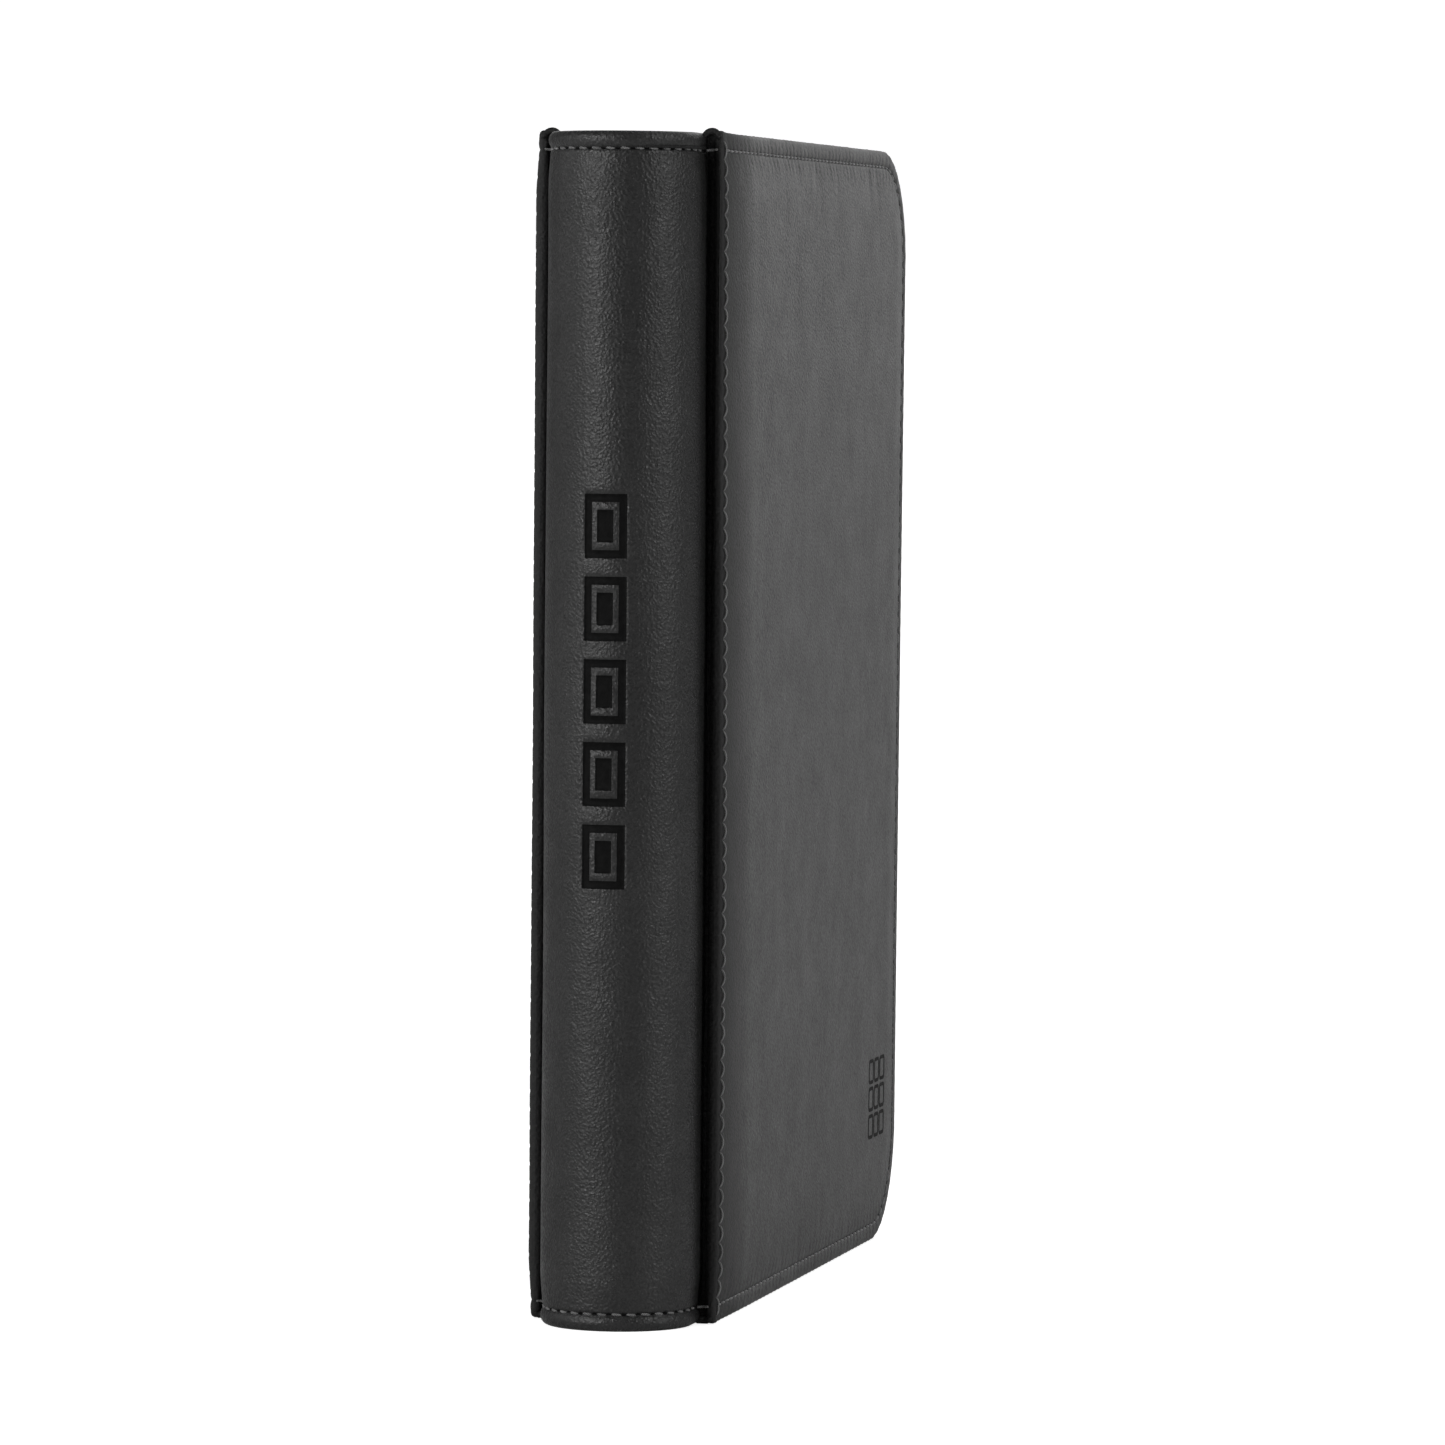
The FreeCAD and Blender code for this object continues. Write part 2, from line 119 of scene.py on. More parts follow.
def waves(y, z, rng, wavelength, count=9, stretch=1.0):
    """A smooth random field from -1 to 1; stretch makes it longer in z than in y."""
    total = np.zeros_like(y)
    for _ in range(count):
        angle = rng.uniform(0, math.pi)
        length = wavelength * rng.uniform(0.6, 1.6)
        phase = rng.uniform(0, 2 * math.pi)
        total += np.sin(2 * math.pi * (y * math.cos(angle) + z * math.sin(angle) / stretch)
                        / length + phase)
    return total / math.sqrt(count) / 1.6


def quads(rows, columns, wrap=False, start=0):
    """Faces of a grid whose point (i, j) has the index start + i * columns + j."""
    i, j = np.meshgrid(np.arange(rows - 1), np.arange(columns if wrap else columns - 1),
                       indexing="ij")
    k = (j + 1) % columns
    a, b = i * columns + j, i * columns + k
    c, d = (i + 1) * columns + k, (i + 1) * columns + j
    return (np.stack([a, b, c, d], -1).reshape(-1, 4) + start).tolist()


def linked(name, data):
    """A new object in the scene."""
    thing = bpy.data.objects.new(name, data)
    bpy.context.scene.collection.objects.link(thing)
    return thing


def clean(mesh, merge=True, dissolve=True):
    """Merges doubled points if asked, and makes the normals point outwards."""
    bm = bmesh.new()
    bm.from_mesh(mesh)
    if merge:
        bmesh.ops.remove_doubles(bm, verts=bm.verts, dist=0.002 * MM)
    if merge and dissolve:
        bmesh.ops.dissolve_degenerate(bm, edges=bm.edges, dist=0.001 * MM)
    bmesh.ops.recalc_face_normals(bm, faces=bm.faces)
    bm.to_mesh(mesh)
    bm.free()


def make_piece(name, points, faces, materials, weld=False, smooth=True):
    """An object from points in millimetres, with its normals made consistent."""
    mesh = bpy.data.meshes.new(name)
    mesh.from_pydata((np.asarray(points, float) * MM).tolist(), [], faces)
    clean(mesh, merge=weld)
    mesh.polygons.foreach_set("use_smooth", [smooth] * len(mesh.polygons))
    for material in materials if isinstance(materials, (list, tuple)) else [materials]:
        mesh.materials.append(material)
    return linked(name, mesh)


def declare(piece, slot, body, *stands_for):
    """Hides the CAD nodes that a piece stands for and puts the piece on its body; slot is not used."""
    if stands_for:
        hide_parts(*stands_for)
    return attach(piece, body)


def slab(name, top, under, materials, weld=False):
    """A closed sheet between two grids of points with the same shape."""
    rows, columns = top.shape[:2]
    count = rows * columns
    faces = quads(rows, columns) + [f[::-1] for f in quads(rows, columns, start=count)]
    for i in range(rows - 1):
        for j in (0, columns - 1):
            a, b = i * columns + j, (i + 1) * columns + j
            faces.append([a, b, b + count, a + count])
    for j in range(columns - 1):
        for i in (0, rows - 1):
            a, b = i * columns + j, i * columns + j + 1
            faces.append([a, b, b + count, a + count])
    points = np.concatenate([top.reshape(-1, 3), under.reshape(-1, 3)])
    return make_piece(name, points, faces, materials, weld=weld)


def tube_points(path, normals, radius, sides=6, squash=1.0):
    """Rings of points round each point of a path; radius may be an array."""
    path = np.asarray(path, float)
    tangent = np.gradient(path, axis=0)
    tangent /= np.linalg.norm(tangent, axis=1, keepdims=True) + 1e-12
    side = np.cross(tangent, normals)
    side /= np.linalg.norm(side, axis=1, keepdims=True) + 1e-12
    up = np.cross(side, tangent)
    radius = np.broadcast_to(radius, len(path))
    angle = np.arange(sides) * 2 * math.pi / sides
    return (path[:, None, :]
            + radius[:, None, None] * (np.cos(angle)[None, :, None] * side[:, None, :]
                                       + squash * np.sin(angle)[None, :, None] * up[:, None, :]))


class Threads:
    """Collects short closed tubes into one piece."""

    def __init__(self):
        self.points, self.faces, self.count = [], [], 0

    def tube(self, path, normals, radius, sides=6, squash=1.0):
        rings = tube_points(path, normals, radius, sides, squash)
        rows = len(rings)
        self.faces += quads(rows, sides, wrap=True, start=self.count)
        self.faces.append([self.count + k for k in range(sides)][::-1])
        self.faces.append([self.count + (rows - 1) * sides + k for k in range(sides)])
        self.points.append(rings.reshape(-1, 3))
        self.count += rows * sides

    def piece(self, name, material, weld=False, smooth=True):
        return make_piece(name, np.concatenate(self.points), self.faces, material, weld, smooth)


def sew(threads, places, normals, lift=0.2, radius=THREAD, gap=0.16, slant=0.0):
    """Lays one thread stitch between each two neighbouring places on a surface."""
    t = np.array([0.0, 0.06, 0.2, 0.5, 0.8, 0.94, 1.0])
    rise = np.array([-1.6, -0.4, 0.7, 1.0, 0.7, -0.4, -1.6]) * lift
    width = np.array([0.55, 0.85, 1.0, 1.0, 1.0, 0.85, 0.55]) * radius
    for a, b, na, nb in zip(places[:-1], places[1:], normals[:-1], normals[1:]):
        n = (na + nb) / 2
        n = n / np.linalg.norm(n)
        along = b - a
        side = np.cross(along / np.linalg.norm(along), n)
        s = gap / 2 + (1 - gap) * t
        wobble = RANDOM.normal(0, 0.04)
        path = a + along * s[:, None] + n * rise[:, None]
        path += side * ((s - 0.5) * slant + wobble)[:, None]
        threads.tube(path, np.tile(n, (len(t), 1)), width * RANDOM.uniform(0.9, 1.08))


def punch(threads, places, normals, radius=0.42):
    """A needle hole at each place, as a shallow near-black lens that lies in the dent round it: painted shade
    for the hole's inside.
    """
    for place, n in zip(places, normals):
        n = n / np.linalg.norm(n)
        helper = np.array([0.31, 0.52, 0.79])
        path = np.array([place - n * 0.05, place + n * 0.03])
        side = np.cross(n, helper)
        threads.tube(path, np.tile(side, (2, 1)), np.array([radius, radius * 0.8]), sides=9)


# ---- outlines ----
def outline(inset, fore_only=False, start_y=None, step=None):
    """Points (y, z) of a cover's outline moved inwards, anticlockwise from the bottom run.

    The closed outline has a fixed number of points whatever the inset, so that rings match."""
    y0, y1, z0, z1 = EDGE_Y + inset, FORE_Y - inset, inset, HEIGHT - inset
    r = max(CORNER - inset, 0.0)
    rs = 0.0 if fore_only else max(SPINE_CORNER - inset, 0.0)
    if start_y is not None:
        y0 = start_y
    half = (z1 - z0) / 2
    r, rs = min(r, half), min(rs, half)
    run, fore, bend, side = RUN_COUNT, FORE_COUNT, BEND_COUNT, SIDE_COUNT
    if step:
        run = max(2, int((y1 - r - y0 - rs) / step))
        fore, bend = int((z1 - z0 - 2 * r) / step), max(8, int(r * math.pi / 2 / step))

    def straight(a, b, count):
        t = np.arange(count)[:, None] / count
        return np.array(a) * (1 - t) + np.array(b) * t

    def turn(cy, cz, radius, first, count):
        angle = first + np.arange(count) / count * math.pi / 2
        return np.stack([cy + radius * np.cos(angle), cz + radius * np.sin(angle)], -1)

    parts = [straight((y0 + rs, z0), (y1 - r, z0), run),
             turn(y1 - r, z0 + r, r, -math.pi / 2, bend),
             straight((y1, z0 + r), (y1, z1 - r), fore),
             turn(y1 - r, z1 - r, r, 0, bend),
             straight((y1 - r, z1), (y0 + rs, z1), run)]
    if fore_only:
        return np.concatenate(parts + [np.array([[y0 + rs, z1]])])
    parts += [turn(y0 + rs, z1 - rs, rs, math.pi / 2, SMALL_COUNT),
              straight((y0, z1 - rs), (y0, z0 + rs), side),
              turn(y0 + rs, z0 + rs, rs, math.pi, SMALL_COUNT)]
    return np.concatenate(parts)


RUN_STITCHES = round((FORE_Y - CORNER - EDGE_Y - SPINE_CORNER) / STITCH)
FORE_STITCHES = round((HEIGHT - 2 * CORNER) / STITCH)
BEND_STITCHES = round((CORNER - HEM) * math.pi / 2 / STITCH)
SIDE_STITCHES = round(HEIGHT / SEAM_STITCH)
RUN_COUNT = RUN_STITCHES * PER_STITCH
FORE_COUNT = FORE_STITCHES * PER_STITCH
BEND_COUNT = BEND_STITCHES * PER_STITCH
SIDE_COUNT = FORE_COUNT      # so that the two long sides meet point to point in the middle
SMALL_COUNT = 3
HEM_COUNT = 2 * (RUN_COUNT + BEND_COUNT) + FORE_COUNT


def hem_distance(y, z):
    """Distance to the bottom, fore and top edges of a cover, with its round corners."""
    dz = np.minimum(z, HEIGHT - z)
    dy = FORE_Y - y
    inside = np.minimum(dz, dy)
    corner = (dz < CORNER) & (dy < CORNER)
    radial = CORNER - np.hypot(CORNER - dz, CORNER - dy)
    return np.where(corner, radial, inside)


def outward(y, z):
    """Unit direction in (y, z) away from a cover's middle, across the nearest hem."""
    dz, dy = np.minimum(z, HEIGHT - z), FORE_Y - y
    sign = np.where(z > HEIGHT / 2, 1.0, -1.0)
    vy = np.where(dy < CORNER, CORNER - dy, 0.0)
    vz = np.where(dz < CORNER, CORNER - dz, 0.0) * sign
    length = np.hypot(vy, vz) + 1e-9
    return vy / length, vz / length


class CoverFace:
    """Height of one cover's padded outer face over the plane of its widest point."""

    def __init__(self, seed, pinch=0.0):
        self.seed, self.pinch = seed, pinch
        rng = np.random.default_rng(seed)
        self.creases = [(rng.uniform(EDGE_Y + 15, FORE_Y - 40), rng.uniform(-0.25, 0.25),
                         rng.uniform(10, 34), rng.uniform(1.6, 3.4), rng.uniform(0.05, 0.16), end)
                        for end in (0, 1) for _ in range(17)]

    def height(self, y, z):
        d, ds = hem_distance(y, z), y - EDGE_Y
        level = -HEM_DEPTH * (1 - smoothstep(HEM + 0.2, 19, d) * 0.75 - smoothstep(4, 9, d) * 0.25)
        level += 0.18 * bump(d, 2.6, 1.7) - 0.42 * bump(d, HEM, 0.55)
        level += 0.34 * smoothstep(15, 95, np.minimum(d, ds * 1.2))
        level += FORE_LEAN * (2 * z / HEIGHT - 1) * np.clip(ds / (FORE_Y - EDGE_Y), 0, 1) ** 1.5
        level -= self.pinch * smoothstep(130, 330, z) * np.exp(-np.clip(ds, 0, None) / 45)
        level -= 0.34 * bump(ds, 1.55, 0.5) * smoothstep(1, 4, d)
        level -= SEAM_DEPTH * np.exp(-np.clip(ds - 3.6, 0, None) / 14) * smoothstep(3.4, 6.0, ds)
        rng = np.random.default_rng(self.seed + 5)
        level += 0.10 * waves(y, z, rng, 46, stretch=2.5) * smoothstep(8, 40, d)
        for place, lean, length, width, depth, end in self.creases:
            dz = np.where(end == 0, z, HEIGHT - z)
            reach = smoothstep(HEM, HEM + 2.5, dz) * (1 - smoothstep(HEM + 3, HEM + length, dz))
            level -= depth * reach * bump(y, place + lean * dz, width)
        return np.where(level < 0, DEEPEST * np.tanh(level / DEEPEST), level)

    def point(self, y, z):
        return xyz(COVER_OUT + self.height(y, z), y, z)

    def normal(self, y, z):
        e = 0.25
        dy = (self.height(y + e, z) - self.height(y - e, z)) / (2 * e)
        dz = (self.height(y, z + e) - self.height(y, z - e)) / (2 * e)
        n = xyz(1, -dy, -dz)
        return n / np.linalg.norm(n, axis=-1, keepdims=True)


def flipper(side):
    """Mirrors points and directions to the back cover's side, and leaves the front cover's."""
    sign = np.array([-1.0 if side == "back" else 1.0, 1.0, 1.0])
    return lambda points: points * sign


# ---- covers ----
HALF_WIDTH = (FORE_Y - EDGE_Y) / 2
TOP_RINGS = ([HALF_WIDTH] + [124.0 - 6 * k for k in range(16)]
             + [29, 25, 21.5, 18.5, 16, 13.8, 11.9, 10.3, 9.0, 8.0, 7.2, 6.6, 6.1, 5.75, 5.45, 5.2,
                4.95, 4.65, 4.3, 3.8, 3.2, 2.6, 2.05, 1.55, 1.15])


def cover_leather(side, face):
    """Padded leatherette turned round the cover's four edges, as one closed shell."""
    index = np.arange(HEM_COUNT + SIDE_COUNT + 2 * SMALL_COUNT)
    on_hem = index < HEM_COUNT
    phase = np.where(on_hem, (index % PER_STITCH) / PER_STITCH, 0.0)
    hole = np.where(on_hem & (index % PER_STITCH == 0), 1.0, 0.0)
    pucker = np.where(on_hem, np.cos(2 * math.pi * phase), 0.0)
    rng = np.random.default_rng(face.seed + 9)
    strength = np.repeat(rng.uniform(0.35, 1.0, len(index) // PER_STITCH + 1), PER_STITCH)[:len(index)]
    rings = []

    def lay(inset, x_of, edge_swell=0.0):
        yz = outline(inset)
        y, z = yz[:, 0].copy(), yz[:, 1].copy()
        oy, oz = outward(y, z)
        swell = edge_swell * (0.10 - 0.16 * pucker * strength) * on_hem
        near = np.exp(-np.clip(y - EDGE_Y, 0, None) / 7.0) * (z > HEIGHT / 2) * edge_swell
        y += oy * swell
        z += oz * swell + near * 0.8
        z = np.maximum(z, 0.02)
        rings.append(xyz(x_of(y, z), y, z))

    def top(inset):
        gather = (-0.13 * pucker * strength * bump(inset, 3.2, 1.6)
                  - 0.10 * pucker * strength * bump(inset, 7.4, 2.2)
                  - 0.46 * hole * bump(inset, HEM, 0.42))
        return lambda y, z: COVER_OUT + face.height(y, z) + gather

    for inset in TOP_RINGS:
        lay(inset, top(inset), edge_swell=1 - float(smoothstep(0, 8, inset)))
    edge = TOP_RINGS[-1]
    for k in range(1, 6):
        angle = k / 5 * math.pi / 2
        drop = edge * (1 - math.cos(angle))
        lay(edge * (1 - math.sin(angle)),
            lambda y, z, drop=drop: COVER_OUT + face.height(y, z) * 0.98 - drop, edge_swell=1.0)
    for k in range(7):
        angle = k / 6 * math.pi / 2
        x = COVER_IN + EDGE_ROLL * (1 - math.sin(angle))
        lay(0.6 * EDGE_ROLL * (1 - math.cos(angle)), lambda y, z, x=x: np.full_like(y, x), edge_swell=0.6)
    under = BOARD_HIGH[0] + 0.02
    lay(1.05, lambda y, z: np.full_like(y, COVER_IN))
    lay(1.1, lambda y, z: np.full_like(y, under))
    lay(29, lambda y, z: np.full_like(y, under))
    lay(HALF_WIDTH, lambda y, z: np.full_like(y, under))
    points = flipper(side)(np.stack(rings))
    piece = make_piece(f"{side}_cover_leather", points.reshape(-1, 3),
                       quads(len(rings), points.shape[1], wrap=True),
                       [COVER_LEATHER, GUTTER_SHADE_LEATHER], weld=True)
    edge_strip(piece, face)
    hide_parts(f"{side}_cover_skin", f"{side}_cover_foam")
    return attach(piece, f"{side}_cover")


RIDGE_DEPTH = 1.9            # depth of the cover leatherette's rounded ridge beside the gutter


def edge_strip(piece, face):
    """The cover's side face beside the gutter, up to the rounded ridge, takes the darker gutter leatherette:
    painted shade for that strip.
    """
    x, y, z = np.array([polygon.center for polygon in piece.data.polygons]).T / MM
    ridge = COVER_OUT + face.height(np.full_like(z, EDGE_Y + 1.15), z)
    # painted shade: these faces get the darker copy of the leatherette
    shaded_strip = (y < EDGE_Y + 1.0) & (np.abs(x) < ridge - RIDGE_DEPTH)
    piece.data.polygons.foreach_set("material_index", shaded_strip.astype(int).tolist())


def cover_stitching(side, face):
    """Hem stitches on both faces, needle holes, and the whipped seam at the spine side."""
    threads, holes = Threads(), Threads()
    flip = flipper(side)
    hem = outline(HEM)[:HEM_COUNT + 1][::PER_STITCH]
    y, z = hem[:, 0], hem[:, 1]
    places, normals = face.point(y, z), face.normal(y, z)
    sew(threads, flip(places), flip(normals), lift=0.26, gap=0.30)
    punch(holes, flip(places), flip(normals), radius=0.6)
    inner = xyz(COVER_IN - 0.04, y, z)
    down = np.tile([-1.0, 0, 0], (len(y), 1))
    sew(threads, flip(inner), flip(down), lift=0.18)
    heights = np.linspace(HEM - 2.6, HEIGHT - HEM + 2.6, SIDE_STITCHES + 1)
    for a, b in zip(heights[:-1], heights[1:]):
        t = np.linspace(0, 1, 9)
        swing = np.sin(math.pi * t)
        yy = EDGE_Y + 1.65 + 1.75 * swing + RANDOM.normal(0, 0.03)
        zz = a + (b - a) * (0.02 + 0.96 * t)
        base = face.point(yy, zz)
        base[:, 0] += 0.10 + 0.26 * swing
        normal = np.tile([1.0, -0.25, 0.0], (len(t), 1))
        threads.tube(flip(base), flip(normal), THREAD * (0.62 + 0.38 * swing))
    declare(threads.piece(f"{side}_cover_stitches", THREAD_MAT), "leatherette", f"{side}_cover")
    declare(holes.piece(f"{side}_cover_needle_holes", HOLE_SHADE_MAT), "leatherette", f"{side}_cover")


def cover_lining(side):
    """Woven lining glued on the board's inner face, bedded inside the turned edge."""
    rings = []
    insets = [k for k in TOP_RINGS if k > 6.5] + [5.8, 5.2, 4.6, 3.6, 2.4, 1.7]
    for inset in insets:
        yz = outline(inset)
        rings.append((yz, inset, None))
    rings.append((outline(1.2), 1.2, 0.2))
    for inset in (1.25, 29, HALF_WIDTH):
        rings.append((outline(inset), inset, LINING_HIGH[0] - LINING_LOW[0]))
    stack = []
    for yz, inset, depth in rings:
        y, z = yz[:, 0], yz[:, 1]
        if depth is None:
            rng = np.random.default_rng(77)
            x = LINING_LOW[0] + 0.06 + 0.05 * waves(y, z, rng, 30, stretch=1.4)
            x = x + 0.12 * bump(inset, HEM, 0.6) - 0.05 * bump(inset, 3.0, 1.2)
        else:
            x = LINING_LOW[0] + depth
        stack.append(xyz(x, y, z))
    points = flipper(side)(np.stack(stack))
    piece = make_piece(f"{side}_cover_lining_cloth", points.reshape(-1, 3),
                       quads(len(stack), points.shape[1], wrap=True), LINING_MAT, weld=True)
    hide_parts(f"{side}_cover_lining")
    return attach(piece, f"{side}_cover")


# ---- spine ----
LEG = GUTTER_Y - ROUND_Y
ARC = math.pi * SPINE_R
GIRTH = 2 * LEG + ARC


def section(t, r):
    """Points and normals of the spine's cross section, t along its outside, r from its middle."""
    angle = np.clip((t - LEG) / SPINE_R, 0, math.pi)
    nx, ny = np.cos(angle), -np.sin(angle)
    y_leg = np.where(t < LEG, LEG - t, np.where(t > LEG + ARC, t - LEG - ARC, 0.0))
    return r * nx, ROUND_Y + r * ny + y_leg, nx, ny


# A plain ornament pressed into the spine: a row of card shapes, each a frame round a small block.
CARDS = 5
CARD_W, CARD_H, CARD_LINE, CARD_GAP = 12.4, 18.0, 2.1, 5.4
BLOCK_W, BLOCK_H = 4.6, 9.0
ORNAMENT_TOP = 237.5        # height of the ornament's upper end
ORNAMENT_MID = GIRTH / 2 + 0.4
PRESS = 0.34                # how deep it is pressed in


def ornament_lines(middle, outer, line, block):
    edges = []
    for half in (outer / 2, outer / 2 - line, block / 2):
        edges += [middle - half, middle + half]
    return edges


CARD_MIDS = [ORNAMENT_TOP - CARD_H / 2 - k * (CARD_H + CARD_GAP) for k in range(CARDS)]


def pressed(t, z):
    """1 inside the pressed lines of the ornament, 0 outside."""
    mask = np.zeros(np.broadcast(t, z).shape)
    for middle in CARD_MIDS:
        a, b = np.abs(t - ORNAMENT_MID), np.abs(z - middle)
        frame_part = (a < CARD_W / 2) & (b < CARD_H / 2)
        hollow = (a < CARD_W / 2 - CARD_LINE) & (b < CARD_H / 2 - CARD_LINE)
        block_part = (a < BLOCK_W / 2) & (b < BLOCK_H / 2)
        mask = np.maximum(mask, (frame_part & ~hollow) | block_part)
    return mask


def with_steps(values, edges, wall=0.11):
    """Adds two grid lines close to each edge, so that a pressed shape gets steep walls."""
    edges = np.asarray(edges)
    keep = [v for v in values if np.min(np.abs(edges - v)) > 2.2 * wall]
    return np.array(sorted(keep + list(edges - wall) + list(edges + wall)))


def spine_heights():
    ends = [0.02, 0.25, 0.6, 1.1, 1.7, 2.4, 3.1, 3.8, 4.3, 4.65, 4.95, 5.2, 5.45, 5.75, 6.1, 6.7, 7.5,
            8.6, 10, 11.6, 13.5]
    middle = np.arange(15.5, HEIGHT - 15, 2.0)
    return np.array(ends + list(middle) + [HEIGHT - e for e in ends[::-1]])


SPINE_RNG_SEED = 53
SPINE_FOAM = 1.0
HEM_ROLL = 1.9              # the rolled hem at both ends of the spine is rounded over this height
SPINE_PINCH = 0.75          # the spine's front half is narrower towards the top


def spine_radius(t, z):
    """Outside radius of the spine's leatherette."""
    d = np.minimum(z, HEIGHT - z)
    r = SPINE_R - 0.60 * (1 - smoothstep(HEM, 15, d)) + 0.60 * bump(d, 2.3, 1.7)
    r = r - 0.5 * bump(d, HEM, 0.6)
    r = r - SPINE_PINCH * smoothstep(160, 335, z) * smoothstep(0.62 * GIRTH, 0.25 * GIRTH, t)
    rng = np.random.default_rng(SPINE_RNG_SEED)
    r = r + 0.13 * waves(t, z, rng, 26, stretch=3.0) * smoothstep(6, 30, d)
    return r


def spine_stitch_places(z):
    count = round((GIRTH - 2 * (LEG - 1.5)) / 4.4)
    t = np.linspace(LEG - 2.6, GIRTH - LEG + 2.6, count + 1)
    x, y, nx, ny = section(t, spine_radius(t, np.full_like(t, z)))
    return t, xyz(x, y, z), xyz(nx, ny, 0)


def spine_leather():
    """The padded leatherette of the spine, with a rolled hem at both ends."""
    card_edges = ornament_lines(ORNAMENT_MID, CARD_W, CARD_LINE, BLOCK_W)
    z_edges = [e for m in CARD_MIDS for e in ornament_lines(m, CARD_H, CARD_LINE, BLOCK_H)]
    stitch_t, _, _ = spine_stitch_places(HEM)
    grid_t = np.linspace(0, GIRTH, 91)
    grid_t = np.array([v for v in grid_t if np.min(np.abs(stitch_t - v)) > 0.4] + list(stitch_t))
    t = with_steps(np.sort(grid_t), card_edges)
    z = with_steps(spine_heights(), z_edges)
    tt, zz = np.meshgrid(t, z, indexing="ij")
    d = np.minimum(zz, HEIGHT - zz)
    r = spine_radius(tt, zz)
    for place in stitch_t:
        r = r - 0.42 * bump(tt, place, 0.5) * bump(d, HEM, 0.42)
    mask = pressed(tt, zz)
    r = r - PRESS * mask
    nose = np.clip(1 - d / HEM_ROLL, 0, 1)
    fold = 1.2 * (1 - np.sqrt(np.clip(1 - nose ** 2, 0, 1)))
    x, y, _, _ = section(tt, r - fold)
    outer = xyz(x, y, zz)
    thick = LEATHER + SPINE_FOAM * smoothstep(6.0, 9.0, d)
    x, y, _, _ = section(tt, np.minimum(SPINE_R - thick + fold, r - fold - 0.05))
    inner = xyz(x, y, zz)
    piece = slab("spine_leather", outer, inner, [SPINE_LEATHER, PRESSED_LEATHER])
    columns = len(z)
    cell = (mask[:-1, :-1] + mask[1:, :-1] + mask[:-1, 1:] + mask[1:, 1:]) > 0.1
    flags = np.zeros(len(piece.data.polygons), dtype=np.int32)
    flags[:(len(t) - 1) * (columns - 1)] = cell.reshape(-1)
    piece.data.polygons.foreach_set("material_index", flags)
    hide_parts("spine_skin", "spine_foam")
    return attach(piece, "spine")


def spine_stitching():
    threads, holes = Threads(), Threads()
    for z in (HEM, HEIGHT - HEM):
        _, places, normals = spine_stitch_places(z)
        sew(threads, places, normals, lift=0.30, radius=THREAD * 1.05, gap=0.40, slant=0.5)
        punch(holes, places - normals * 0.02, normals, radius=0.75)
    declare(threads.piece("spine_stitches", THREAD_MAT), "leatherette", "spine")
    declare(holes.piece("spine_needle_holes", HOLE_SHADE_MAT), "leatherette", "spine")


def bend_with_cover(piece):
    """Bakes the piece's place into its mesh."""
    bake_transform(piece)


def gutter(side):
    """The leatherette that folds into the gutter and joins the spine to a cover."""
    z = np.array([0.05, 0.8, 1.8, 3.2, 5.0, 7.5, 11] + list(np.arange(16, HEIGHT - 12, 6.0))
                 + [HEIGHT - e for e in (11, 7.5, 5.0, 3.2, 1.8, 0.8, 0.0)])
    a = np.linspace(0, math.pi, 13)
    aa, zz = np.meshgrid(a, z, indexing="ij")
    d = np.minimum(zz, HEIGHT - zz)
    middle, half = (SPINE_R + COVER_IN) / 2, (COVER_IN - SPINE_R) / 2
    deep = (GUTTER_Y - 0.15) - 3.2 * (1 - smoothstep(0.5, 9, d))
    start = EDGE_Y + 1.4
    grids = []
    for thin in (0.0, 0.5):
        reach = np.where(aa < math.pi / 2, half + 0.95, half + 0.35) - thin * 0.6
        x = middle - reach * np.cos(aa)
        y = start + (deep - thin - start) * np.sin(aa) ** 0.6
        lift = 0.75 * np.sin(aa) * (1 - smoothstep(0, 4, HEIGHT - zz))
        grids.append(xyz(x, y, zz + lift * (1 - thin * 0.3)))
    top, under = flipper(side)(np.stack(grids))
    # The gutter leather takes the darker copy of the leatherette, as painted shade in the fold.
    piece = slab(f"{side}_gutter_leather", top, under, GUTTER_SHADE_LEATHER)
    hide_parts(f"{side}_hinge_fold")
    bend_with_cover(piece)


def gutter_ears(side):
    """The little rolled ends of the fold at the top and bottom, and the thread across it."""
    sign = 1 if side == "front" else -1
    middle = (SPINE_R + COVER_IN) / 2
    ears, threads = Threads(), Threads()
    t = np.linspace(0, math.pi, 11)
    for z0, up, rise in ((HEIGHT - 0.55, 1, 1.0), (0.75, -1, 0.12)):
        path = xyz(sign * (middle - 2.3 * np.cos(t)), EDGE_Y - 0.2 + 0.9 * np.sin(t),
                   z0 + up * rise * np.sin(t) - up * 1.2 * (1 - np.sin(t)))
        normal = np.tile([0.0, -1.0, 0.15], (len(t), 1))
        radius = 0.70 + 0.35 * np.sin(t)
        if up < 0:
            path[:, 2] = np.maximum(path[:, 2], radius + 0.02)
        ears.tube(path, normal, radius, sides=10)
    for z0 in (HEM, HEIGHT - HEM):
        s = np.linspace(0, 1, 9)
        x = sign * (SPINE_R - 0.6 + (COVER_IN - SPINE_R + 1.5) * s)
        path = xyz(x, EDGE_Y - 0.25 + 0.55 * np.sin(math.pi * s) - 0.1 * s, z0 + 0.25 * (s - 0.5))
        threads.tube(path, np.tile([0.0, -1.0, 0.0], (len(s), 1)), THREAD)
    for piece in (ears.piece(f"{side}_gutter_ears", GUTTER_SHADE_LEATHER),
                  threads.piece(f"{side}_gutter_thread", THREAD_MAT)):
        bend_with_cover(piece)


